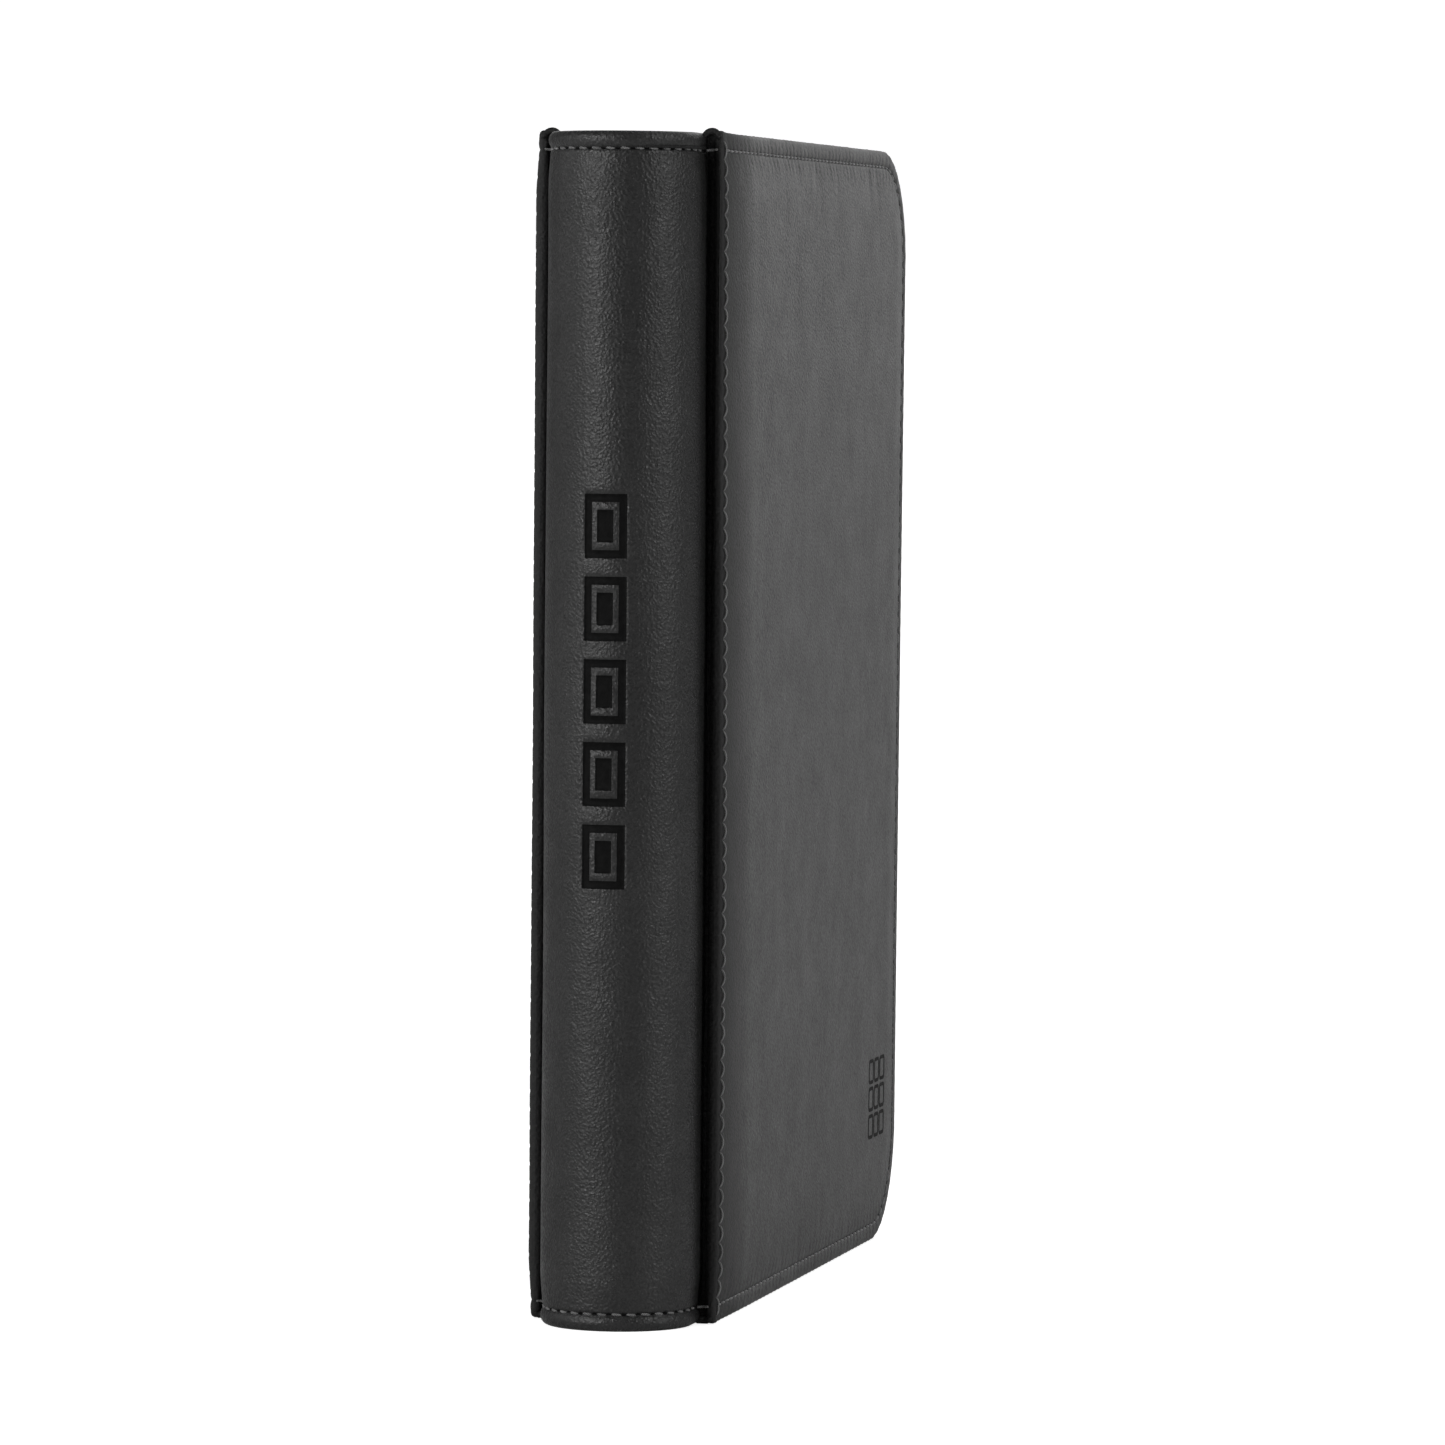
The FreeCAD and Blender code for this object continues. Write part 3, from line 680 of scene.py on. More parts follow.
def end_panel(which):
    """Leatherette panel that closes an end of the spine, slightly dished."""
    low, high = box_mm(f"spine_end_panel_{which}")
    round_part = 1 - np.cos(np.linspace(0, math.pi / 2, 14))
    rows = np.concatenate([low[1] + 0.05 + (ROUND_Y - low[1]) * round_part,
                           np.linspace(ROUND_Y + 2, high[1], 12)])
    a = np.linspace(-1, 1, 31)
    yy, aa = np.meshgrid(rows, a, indexing="ij")
    inner = high[0]
    drop = np.clip(ROUND_Y - yy, 0, inner - 1e-3)
    half = np.where(yy < ROUND_Y, np.sqrt(inner ** 2 - drop ** 2), inner)
    xx = aa * half
    bowl = (1 - aa ** 2) * 0.35 * np.sin(math.pi * (yy - low[1]) / (high[1] - low[1]))
    sign = 1 if which == "top" else -1
    outer_z, inner_z = (high[2], low[2]) if which == "top" else (low[2], high[2])
    piece = slab(f"spine_end_panel_{which}_leather", xyz(xx, yy, outer_z - sign * bowl),
                 xyz(xx, yy, inner_z - sign * bowl), GUTTER_SHADE_LEATHER)
    declare(piece, "leatherette", "spine", f"spine_end_panel_{which}")


def plate_from_outline(name, loops, thickness, bevel, material):
    """A flat plate with rounded edges from closed loops of (x, y); inner loops are holes."""
    curve = bpy.data.curves.new(name, "CURVE")
    curve.dimensions, curve.fill_mode = "2D", "BOTH"
    curve.extrude, curve.bevel_depth, curve.bevel_resolution = (thickness / 2 - bevel) * MM, bevel * MM, 2
    curve.offset = -bevel * MM
    for loop in loops:
        spline = curve.splines.new("POLY")
        spline.points.add(len(loop) - 1)
        spline.points.foreach_set("co", [v for x, y in loop for v in (x * MM, y * MM, 0, 1)])
        spline.use_cyclic_u = True
    holder = linked(name + "_curve", curve)
    mesh = bpy.data.meshes.new_from_object(holder.evaluated_get(bpy.context.evaluated_depsgraph_get()))
    bpy.data.objects.remove(holder)
    mesh.name = name
    clean(mesh, dissolve=False)
    mesh.materials.clear()
    mesh.materials.append(material)
    return linked(name, mesh)


def rounded(x0, x1, y0, y1, r, steps=6):
    """Closed loop of a rounded rectangle."""
    loop = []
    for cx, cy, first in ((x1 - r, y1 - r, 0), (x0 + r, y1 - r, 1), (x0 + r, y0 + r, 2), (x1 - r, y0 + r, 3)):
        for k in range(steps + 1):
            angle = (first + k / steps) * math.pi / 2
            loop.append((cx + r * math.cos(angle), cy + r * math.sin(angle)))
    return loop


def end_tab(which):
    """Leatherette tab over the tape ends, with a row of stitches just inside its edge."""
    low, high = box_mm(f"zip_end_tab_{which}")
    loop = rounded(low[0], high[0], low[1], high[1], 4.2)
    piece = plate_from_outline(f"zip_end_tab_{which}_leather", [loop], high[2] - low[2], 0.35, COVER_LEATHER)
    piece.location.z = (low[2] + high[2]) / 2 * MM
    bpy.context.view_layer.update()
    declare(piece, "leatherette", "spine", f"zip_end_tab_{which}")
    sign = 1.0 if which == "top" else -1.0
    z = high[2] if which == "top" else low[2]
    inner = np.array(rounded(low[0] + 1.8, high[0] - 1.8, low[1] + 1.8, high[1] - 1.8, 2.8))
    inner = np.concatenate([inner, inner[:1]])
    length = path_length(inner)
    count = round(length[-1] / 3.2)
    s = np.linspace(0, length[-1], count + 1)
    places = xyz(np.interp(s, length, inner[:, 0]), np.interp(s, length, inner[:, 1]), z)
    threads = Threads()
    sew(threads, places, np.tile([0, 0, sign], (len(s), 1)), lift=0.16, radius=0.26)
    declare(threads.piece(f"zip_end_tab_{which}_stitches", THREAD_MAT), "leatherette", "spine")


# ---- zip and side bands ----
def wall_path(inset, start_y, step=2.0):
    """Points and outward directions along a wall that follows the fore side of the outline."""
    yz = outline(inset, fore_only=True, start_y=start_y, step=step)
    tangent = np.gradient(yz, axis=0)
    tangent /= np.linalg.norm(tangent, axis=1, keepdims=True)
    return yz, np.stack([tangent[:, 1], -tangent[:, 0]], -1)


def even(yz, normal, pitch, start=0.0, stop=0.0):
    """Resamples a path at even steps; returns points and normals."""
    length = path_length(yz)
    count = int((length[-1] - start - stop) / pitch)
    s = start + pitch * (np.arange(count) + 0.5)
    p = np.stack([np.interp(s, length, yz[:, k]) for k in (0, 1)], -1)
    n = np.stack([np.interp(s, length, normal[:, k]) for k in (0, 1)], -1)
    n /= np.linalg.norm(n, axis=1, keepdims=True)
    return p, n


def wall_strip(yz, normal, x_values, outer, thickness):
    """Two grids of a strip along a path; outer(x, s) lifts its outside off the path."""
    ss, xx = np.meshgrid(path_length(yz), x_values, indexing="ij")
    lift = outer(xx, ss)
    grids = []
    for sink in (np.zeros_like(lift), thickness(xx)):
        grids.append(xyz(xx, yz[:, :1] + normal[:, :1] * (lift - sink),
                         yz[:, 1:] + normal[:, 1:] * (lift - sink)))
    return grids


def side_band(side):
    """Leatherette gusset that carries the zip, with a turned edge sewn down on the tape."""
    yz, normal = wall_path(WALL_INSET, BAND_LOW[1])
    low, high = BAND_LOW[0], BAND_HIGH[0]
    x = np.concatenate([low + np.array([0, 0.1, 0.3, 0.7, 1.2, 1.7, 2.0, 2.3, 2.9]),
                        np.linspace(low + 4.2, high - 0.6, 8), [high]])
    rng = np.random.default_rng(61 if side == "front" else 62)

    def nose(xx):
        return 1 - np.sqrt(1 - np.clip(1 - (xx - low) / 0.7, 0, 1) ** 2)

    def outer(xx, ss):
        turned = 0.28 * (1 - smoothstep(low + 2.6, low + 3.8, xx))
        swell = np.sin(math.pi * np.clip((xx - low) / (high - low), 0, 1))
        groove = 0.22 * bump(xx, low + 2.0, 0.35)
        return turned + 0.26 * waves(ss, xx, rng, 34) * swell - groove - 0.5 * nose(xx)

    top, under = wall_strip(yz, normal, x, outer, lambda xx: 0.95 - 0.7 * nose(xx))
    flip = flipper(side)
    piece = slab(f"{side}_side_band_leather", flip(top), flip(under), COVER_LEATHER)
    declare(piece, "leatherette", f"{side}_cover", f"{side}_side_band")
    p, n = even(yz, normal, 3.6, start=1.0, stop=1.0)
    places = xyz(low + 2.0, p[:, 0] + n[:, 0] * 0.10, p[:, 1] + n[:, 1] * 0.10)
    threads = Threads()
    sew(threads, flip(places), flip(xyz(0, n[:, 0], n[:, 1])), lift=0.16, radius=0.24)
    declare(threads.piece(f"{side}_side_band_stitches", THREAD_MAT), "leatherette", f"{side}_cover")


def zip_tape(side):
    """Woven tape with a thick ribbed edge that carries the coils."""
    yz, normal = wall_path(TAPE_INSET, TAPE_LOW[1], step=1.6)
    low, high = TAPE_LOW[0], TAPE_HIGH[0]
    x = np.concatenate([low + np.array([0, 0.15, 0.4, 0.8, 1.2, 1.6, 2.0, 2.4, 2.8, 3.4, 4.2, 5.2, 6.4, 7.8]),
                        [high - 0.2, high]])

    def cords(xx):
        return 0.10 * bump(xx, low + 0.5, 0.35) + 0.08 * bump(xx, low + 1.9, 0.4) - 0.16 * bump(xx, low, 0.12)

    top, under = wall_strip(yz, normal, x, lambda xx, ss: cords(xx), lambda xx: TAPE_THICK + 2 * cords(xx))
    flip = flipper(side)
    piece = slab(f"{side}_zip_tape_woven", flip(top), flip(under), TAPE_MAT)
    declare(piece, "zip_tape", f"{side}_cover", f"{side}_zip_tape")


COIL_PITCH = 1.36
FRONT_COIL_START = 5.35      # the front coils on the top run start this far past the slider


def zip_coil(side):
    """One row of coils: a loop of monofilament round the tape's edge for each tooth."""
    yz, normal = wall_path(TAPE_MID, COIL_LOW[1], step=1.0)
    skip = SLIDER_HIGH[1] - COIL_LOW[1] + FRONT_COIL_START if side == "front" else 0.0
    shift = COIL_PITCH / 2 if side == "front" else 0.0
    p, n = even(yz, normal, COIL_PITCH, start=shift, stop=skip)
    flip, threads = flipper(side), Threads()
    root, tip = TAPE_LOW[0], -0.32
    upper = np.array([(root + 0.15, 0.52, 0.22), (root - 0.7, 0.86, 0.27), (tip + 0.75, 0.82, 0.27),
                      (tip + 0.18, 0.62, 0.34)])
    loop = np.concatenate([upper, [(tip, 0.0, 0.36)], upper[::-1] * (1, -1, 1)])
    across, lift, radius = loop.T
    for (y, z), (ny, nz) in zip(p, n):
        normals = np.tile([0.0, -nz, ny], (len(loop), 1))
        threads.tube(flip(xyz(across, y + ny * lift, z + nz * lift)), flip(normals), radius)
    declare(threads.piece(f"{side}_zip_teeth", COIL_MAT), "zip_coil", f"{side}_cover", f"{side}_zip_coil")


def zip_end_parts():
    """Tape ends and crimped stops at the two ends of the zip."""
    for which, stops in (("top", "zip_top_stops"), ("bottom", "zip_bottom_stop")):
        low, high = box_mm(f"zip_tape_end_{which}")
        x, y = np.meshgrid(np.linspace(low[0], high[0], 13), np.linspace(low[1], high[1], 15), indexing="ij")
        rib = 0.05 * np.cos((x - low[0]) * math.pi * 2 / 0.76)
        tape = slab(f"zip_tape_end_{which}_woven", xyz(x, y, high[2] + rib), xyz(x, y, low[2] - rib),
                    TAPE_MAT)
        declare(tape, "zip_tape", "spine", f"zip_tape_end_{which}")
        low, high = box_mm(stops)
        spans = [(low[0], high[0])] if which == "bottom" else [(low[0], -0.35), (0.35, high[0])]
        bars = []
        for x0, x1 in spans:
            bar = plate_from_outline(f"bar_{which}_{len(bars)}", [rounded(x0, x1, low[1], high[1], 0.55)],
                                     high[2] - low[2], 0.4, METAL)
            bar.location.z = (low[2] + high[2]) / 2 * MM
            bars.append(bar)
        declare(join_pieces(f"{stops}_crimped", bars), "zip_metal", "spine", stops)


def join_pieces(name, pieces):
    """Joins objects into one piece, with their places baked into its mesh."""
    bpy.context.view_layer.update()
    bm = bmesh.new()
    for piece in pieces:
        part = piece.data.copy()
        part.transform(piece.matrix_world)
        bm.from_mesh(part)
        bpy.data.meshes.remove(part)
    mesh = bpy.data.meshes.new(name)
    bm.to_mesh(mesh)
    bm.free()
    for material in pieces[0].data.materials:
        mesh.materials.append(material)
    for piece in pieces:
        bpy.data.objects.remove(piece)
    return linked(name, mesh)


def both_sides(width, y):
    """Closed loop through plus and minus each half width."""
    return list(zip(width, y)) + list(zip(-width[::-1], y[::-1]))


def cross_bar(threads, reach, y, z, radius, sides):
    """A bar along X with the given radius at each of its evenly spaced rings."""
    count = len(radius)
    threads.tube(xyz(np.linspace(-reach, reach, count), y, z), np.tile([0, 0, 1.0], (count, 1)),
                 np.array(radius), sides=sides)


def slider_widths():
    """Plan of a slider plate: broad shoulders at the spine side, a narrow tail at the other."""
    low, high = SLIDER_LOW, SLIDER_HIGH
    t = np.linspace(0, 1, 40)
    width = (high[0] - low[0]) / 2 * (0.74 + 0.26 * (1 - smoothstep(0.15, 0.62, t)))
    ends = np.sqrt(np.clip(1 - np.clip(1 - t / 0.16, 0, 1) ** 2, 0, 1))
    ends *= np.sqrt(np.clip(1 - np.clip((t - 0.88) / 0.12, 0, 1) ** 2.6, 0, 1))
    return width * (0.30 + 0.70 * ends), low[1] + t * (high[1] - low[1])


def zip_slider():
    """Two rounded plates with side lips, a wedge post, and a bridge over the pull's pin."""
    low, high = SLIDER_LOW, SLIDER_HIGH
    tape_z = HEIGHT - TAPE_MID
    plate_out, plate_in = tape_z - low[2], tape_z - low[2] - 0.9
    lip_in = TAPE_THICK / 2 + 0.32
    parts = []

    def plate(loop, z0, z1, bevel):
        part = plate_from_outline(f"slider_part_{len(parts)}", [loop], abs(z1 - z0), bevel, METAL)
        part.location.z = (z0 + z1) / 2 * MM
        parts.append(part)

    width, y = slider_widths()
    lip = slice(5, -4)
    lip_inner = np.maximum(width[lip] - 0.95, 2.95)
    right_lip = list(zip(width[lip], y[lip])) + list(zip(lip_inner[::-1], y[lip][::-1]))
    left_lip = [(-a, b) for a, b in right_lip[::-1]]
    for sign in (-1, 1):
        plate(both_sides(width, y), tape_z + sign * plate_in, tape_z + sign * plate_out, 0.35)
        for loop in (right_lip, left_lip):
            plate(loop, tape_z + sign * lip_in, tape_z + sign * (plate_in + 0.3), 0.12)
    post = [(0.14 * math.cos(a), low[1] + 1.9 + 1.4 * math.sin(a))
            for a in np.linspace(0, 2 * math.pi, 16)[:-1]]
    plate(post, tape_z - plate_in - 0.1, tape_z + plate_in + 0.1, 0.02)
    body = join_pieces("slider_body", parts)
    threads = Threads()
    pin_y, foot_z = (low[1] + high[1]) / 2, tape_z + plate_out - 0.25
    t = np.linspace(0, math.pi, 15)
    for x in (-2.35, 2.35):
        arch = xyz(x, pin_y - 1.55 * np.cos(t), foot_z + (high[2] - 0.42 - foot_z) * np.sin(t) ** 0.8)
        threads.tube(arch, np.tile([1.0, 0, 0], (len(t), 1)), 0.40, sides=10)
    cross_bar(threads, 2.6, pin_y, high[2] - 1.11, [0.3] + [0.6] * 7 + [0.3], sides=14)
    bridge = threads.piece("slider_bridge", METAL)
    declare(join_pieces("zip_slider_body", [body, bridge]), "zip_metal", "slider", "zip_slider")


def pull_eye(pin_y, pin_z):
    """The tube at the tab's end that turns on the slider's pin."""
    angle = np.linspace(0, 2 * math.pi, 27)[:-1]
    half = [(-1.75, 0.70), (-1.75, 0.98), (-1.55, 1.09)]
    profile = half + [(-x, r) for x, r in half[::-1]] + [(1.6, 0.665), (-1.6, 0.665), half[0]]
    points = np.stack([xyz(x, pin_y + r * np.cos(angle), pin_z + r * np.sin(angle)) for x, r in profile])
    return make_piece("pull_eye", points.reshape(-1, 3), quads(len(profile), len(angle), wrap=True),
                      METAL, weld=True)


def zip_pull():
    """Tapered metal tab with an eye at the pin and a slot near its rounded end."""
    low, high = PULL_LOW, PULL_HIGH
    half = (high[0] - low[0]) / 2
    pin_y, end_y = low[1] + (high[2] - low[2]) / 2, high[1]
    mid_z = (low[2] + high[2]) / 2
    neck_y = pin_y + 1.4
    t = np.linspace(0, 1, 24)
    tip = np.sqrt(np.clip(1 - np.clip((t - 0.84) / 0.16, 0, 1) ** 2.2, 0.02, 1))
    width = half * (0.50 + 0.50 * smoothstep(0.05, 0.34, t)) * tip
    slot_loop = rounded(-1.0, 1.0, end_y - 8.6, end_y - 3.2, 0.95)
    tab = plate_from_outline("pull_plate", [both_sides(width, neck_y + (end_y - neck_y) * t), slot_loop],
                             1.15, 0.3, METAL)
    tab.location.z = mid_z * MM
    ridges = Threads()
    for k in range(5):
        for sign in (-1, 1):
            cross_bar(ridges, half - 1.1, neck_y + 6.2 + 1.25 * k, mid_z + sign * 0.55,
                      [0.06, 0.2, 0.24, 0.24, 0.24, 0.2, 0.06], sides=8)
    eye = pull_eye(pin_y, mid_z)
    piece = join_pieces("zip_pull_plate", [tab, eye, ridges.piece("pull_ridges", METAL)])
    declare(piece, "zip_metal", "pull", "zip_pull_tab")


# ---- pocket leaves ----
LEAF_TAB, LEAF_EDGE, WELD, SLIT = 15.0, 3.0, 2.5, 1.2
POCKETS = 3
CORE, FILM = 0.3, 0.14      # thicknesses
LEAF_LOW, LEAF_HIGH = box_mm("leaf_01")
LEAF_START = LEAF_LOW[1] + CORE / 2
LEAF_CORNER = 5.0


def leaf_bend(y, z):
    """How far a leaf's soft plastic waves out of its plane."""
    rng = np.random.default_rng(91)
    return 0.16 * waves(y, z, rng, 120) * smoothstep(LEAF_START + 12, LEAF_START + 90, y)


def leaf_sheet():
    """One leaf's centre sheet, with round corners at its fore edge, at X = 0."""
    y0, y1, z0, z1 = LEAF_START, LEAF_HIGH[1], LEAF_LOW[2], LEAF_HIGH[2]
    ys = np.concatenate([[LEAF_LOW[1], y0, y0 + 0.5], np.linspace(y0 + 4, y1 - 3, 40), [y1 - 1.2, y1]])
    zs = np.concatenate([[z0, z0 + 1.2], np.linspace(z0 + 4, z1 - 4, 44), [z1 - 1.2, z1]])
    y, z = np.meshgrid(ys, zs, indexing="ij")
    bend = leaf_bend(y, z)
    upper = z > (z0 + z1) / 2
    past_y = np.maximum(y - (y1 - LEAF_CORNER), 0)
    past_z = np.maximum(np.maximum(z - (z1 - LEAF_CORNER), z0 + LEAF_CORNER - z), 0)
    reach = np.hypot(past_y, past_z)
    scale = LEAF_CORNER / np.maximum(reach, 1e-9)
    cut = reach > LEAF_CORNER
    half = np.where(y <= LEAF_LOW[1] + 1e-6, CORE * 0.12, CORE / 2)
    corner_z = np.where(upper, z1 - LEAF_CORNER + past_z * scale, z0 + LEAF_CORNER - past_z * scale)
    y, z = np.where(cut, y1 - LEAF_CORNER + past_y * scale, y), np.where(cut, corner_z, z)
    return slab("leaf_core", xyz(bend + half, y, z), xyz(bend - half, y, z), LEAF_MAT)


def pocket(ya, yb, za, zb):
    """Film of one pocket on both faces: welded on three sides, and loose at its open side."""
    width, height = yb - ya, zb - za
    seam = WELD / height
    end = WELD / width
    a = np.concatenate([[0, 0.02, 0.05], np.linspace(0.1, 0.9, 9), [1 - 2 * end, 1 - end, 1]])
    b = np.concatenate([[0, seam * 0.5, seam, 1.6 * seam], np.linspace(0.12, 0.88, 9),
                        [1 - 1.6 * seam, 1 - seam, 1 - seam * 0.5, 1]])
    aa, bb = np.meshgrid(np.unique(np.round(a, 5)), np.unique(np.round(b, 5)), indexing="ij")
    y, z = ya + width * aa, za + height * bb
    belly = np.sin(math.pi * np.clip((bb - seam) / (1 - 2 * seam), 0, 1)) ** 0.7
    full = smoothstep(0, 1, np.clip((1 - aa - 0.035) / 0.25, 0, 1)) * belly
    ribs = 0.03 * np.cos(bb * height * 2 * math.pi) * ((bb < seam) | (bb > 1 - seam))
    puff = 0.03 + 0.26 * full + ribs
    films = []
    for sign in (-1, 1):
        base = leaf_bend(y, z) + sign * (CORE / 2 + puff)
        films.append(slab("film_part", xyz(base + sign * FILM, y, z), xyz(base, y, z), FILM_MAT))
    return films


def pocket_films():
    """The pockets of both faces of one leaf, three by three, at X = 0."""
    start, z0 = LEAF_START + LEAF_TAB, LEAF_LOW[2]
    column = (LEAF_HIGH[1] - LEAF_EDGE - start - WELD) / POCKETS
    row = (LEAF_HIGH[2] - z0 - WELD) / POCKETS
    films = []
    for i in range(POCKETS):
        for j in range(POCKETS):
            below = WELD / 2 if j else 0.0
            above = WELD / 2 if j < POCKETS - 1 else WELD
            films += pocket(start + WELD + i * column + SLIT, start + (i + 1) * column + WELD,
                            z0 + j * row + below, z0 + (j + 1) * row + above)
    return join_pieces("leaf_film", films)


def leaves():
    """All pocket leaves share two meshes and differ in their place across the spine."""
    core, film = leaf_sheet(), pocket_films()
    count = sum(1 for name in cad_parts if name.startswith("leaf_"))
    for i in range(1, count + 1):
        name = f"leaf_{i:02d}"
        low, high = box_mm(name)
        for kind, pattern in (("centre_sheet", core), ("pocket_film", film)):
            piece = linked(f"{name}_{kind}", pattern.data)
            piece.location.x = (low[0] + high[0]) / 2 * MM
            if kind == "centre_sheet":
                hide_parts(name)
            bpy.context.view_layer.update()
            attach(piece, f"{name}_body")
    bpy.data.objects.remove(core)
    bpy.data.objects.remove(film)


# ---- emblem ----
EMBLEM_Y, EMBLEM_Z = FORE_Y - 46, 33.0      # lower spine side corner of the grid
EMBLEM_SQUARE, EMBLEM_STEP, EMBLEM_LINE = 6.6, 8.6, 1.15


def ribbon(threads, path, normals, width, proud=0.05, bed=0.25):
    """A flat closed strip that lies on a surface, as a pressed line does."""
    along = np.roll(path, -1, axis=0) - np.roll(path, 1, axis=0)
    along /= np.linalg.norm(along, axis=1, keepdims=True)
    side = np.cross(normals, along) * width / 2
    rings = np.stack([path - side + normals * proud, path + side + normals * proud,
                      path + side - normals * bed, path - side - normals * bed], 1)
    rings = np.concatenate([rings, rings[:1]])
    threads.faces += quads(len(rings), 4, wrap=True, start=threads.count)
    threads.points.append(rings.reshape(-1, 3))
    threads.count += rings.shape[0] * 4


def emblem(face):
    """A plain nine-square grid pressed into the front cover near its lower fore corner."""
    threads = Threads()
    for i in range(3):
        for j in range(3):
            cy, cz = EMBLEM_Y + i * EMBLEM_STEP, EMBLEM_Z + j * EMBLEM_STEP
            loop = np.array(rounded(cy, cy + EMBLEM_SQUARE, cz, cz + EMBLEM_SQUARE, 1.2, steps=4))
            keep = np.linalg.norm(loop - np.roll(loop, 1, axis=0), axis=1) > 1e-6
            y, z = loop[keep, 0], loop[keep, 1]
            ribbon(threads, face.point(y, z), face.normal(y, z), EMBLEM_LINE)
    piece = threads.piece("front_cover_emblem", PRESSED_LEATHER, weld=True, smooth=False)
    declare(piece, "leatherette", "front_cover")


# ---- materials ----
GRAIN_SCALE = 1250.0         # pebbles to a metre
# width of the painted shade beside the cover's seam
SEAM_SHADE_WIDTH = 0.040


class Nodes:
    """Short helper to build a material's node tree."""

    def __init__(self, name):
        self.material = bpy.data.materials.new(name)
        self.material.use_nodes = True
        self.tree = self.material.node_tree
        self.shader = self.tree.nodes["Principled BSDF"]
        self.place = self.add("ShaderNodeTexCoord").outputs["Object"]

    def add(self, kind, **values):
        node = self.tree.nodes.new(kind)
        for key, value in values.items():
            if hasattr(node, key):
                setattr(node, key, value)
            else:
                node.inputs[key.replace("_", " ")].default_value = value
        return node

    def link(self, source, target):
        self.tree.links.new(source, target)

    def scaled(self, x, y, z):
        node = self.add("ShaderNodeMapping")
        node.inputs["Scale"].default_value = (x, y, z)
        self.link(self.place, node.inputs["Vector"])
        return node.outputs["Vector"]

    def noise(self, scale, detail=3.0, roughness=0.5, vector=None):
        node = self.add("ShaderNodeTexNoise")
        node.inputs["Scale"].default_value = scale
        node.inputs["Detail"].default_value = detail
        node.inputs["Roughness"].default_value = roughness
        self.link(vector or self.place, node.inputs["Vector"])
        return node.outputs["Fac"]

    def cells(self, scale, feature="F1", vector=None):
        node = self.add("ShaderNodeTexVoronoi", feature=feature)
        node.inputs["Scale"].default_value = scale
        self.link(vector or self.place, node.inputs["Vector"])
        return node.outputs["Distance"]

    def ramp(self, factor, *stops):
        """stops are (position, grey or colour)."""
        node = self.add("ShaderNodeValToRGB")
        elements = node.color_ramp.elements
        while len(elements) < len(stops):
            elements.new(0.5)
        for element, (position, colour) in zip(elements, stops):
            colour = (colour,) * 3 if not isinstance(colour, tuple) else colour
            element.position, element.color = position, (*colour, 1)
        self.link(factor, node.inputs["Fac"])
        return node.outputs["Color"]

    def feed(self, value, socket):
        """Links an output, or sets a number or a colour."""
        if hasattr(value, "links"):
            self.link(value, socket)
        else:
            socket.default_value = (*value, 1) if isinstance(value, tuple) else value

    def between(self, factor, dark, light):
        """From dark to light over the middle of factor, which is an output or a noise's scale."""
        if not hasattr(factor, "links"):
            factor = self.noise(factor)
        return self.ramp(factor, (0.3, dark), (0.7, light))

    def wave(self, scale, direction, distortion):
        node = self.add("ShaderNodeTexWave", wave_type="BANDS", bands_direction=direction)
        node.inputs["Scale"].default_value = scale
        node.inputs["Distortion"].default_value = distortion
        self.link(self.place, node.inputs["Vector"])
        return node.outputs["Fac"]

    def mix(self, a, b, factor=0.5, blend="MIX"):
        node = self.add("ShaderNodeMix", data_type="RGBA", blend_type=blend)
        self.feed(factor, node.inputs[0])
        self.feed(a, node.inputs[6])
        self.feed(b, node.inputs[7])
        return node.outputs[2]

    def times(self, a, b):
        return self.mix(a, b, 1.0, "MULTIPLY")

    def math(self, operation, a, b):
        node = self.add("ShaderNodeMath", operation=operation)
        self.feed(a, node.inputs[0])
        self.feed(b, node.inputs[1])
        return node.outputs[0]

    def bump(self, height, distance, strength=1.0, under=None):
        node = self.add("ShaderNodeBump")
        node.inputs["Strength"].default_value = strength
        node.inputs["Distance"].default_value = distance
        self.link(height, node.inputs["Height"])
        if under is not None:
            self.link(under, node.inputs["Normal"])
        return node.outputs["Normal"]

    def finish(self, colour, roughness, normal=None, **values):
        self.feed(colour, self.shader.inputs["Base Color"])
        self.feed(roughness, self.shader.inputs["Roughness"])
        if normal is not None:
            self.link(normal, self.shader.inputs["Normal"])
        for key, value in values.items():
            self.shader.inputs[key.replace("_", " ")].default_value = value
        return self.material


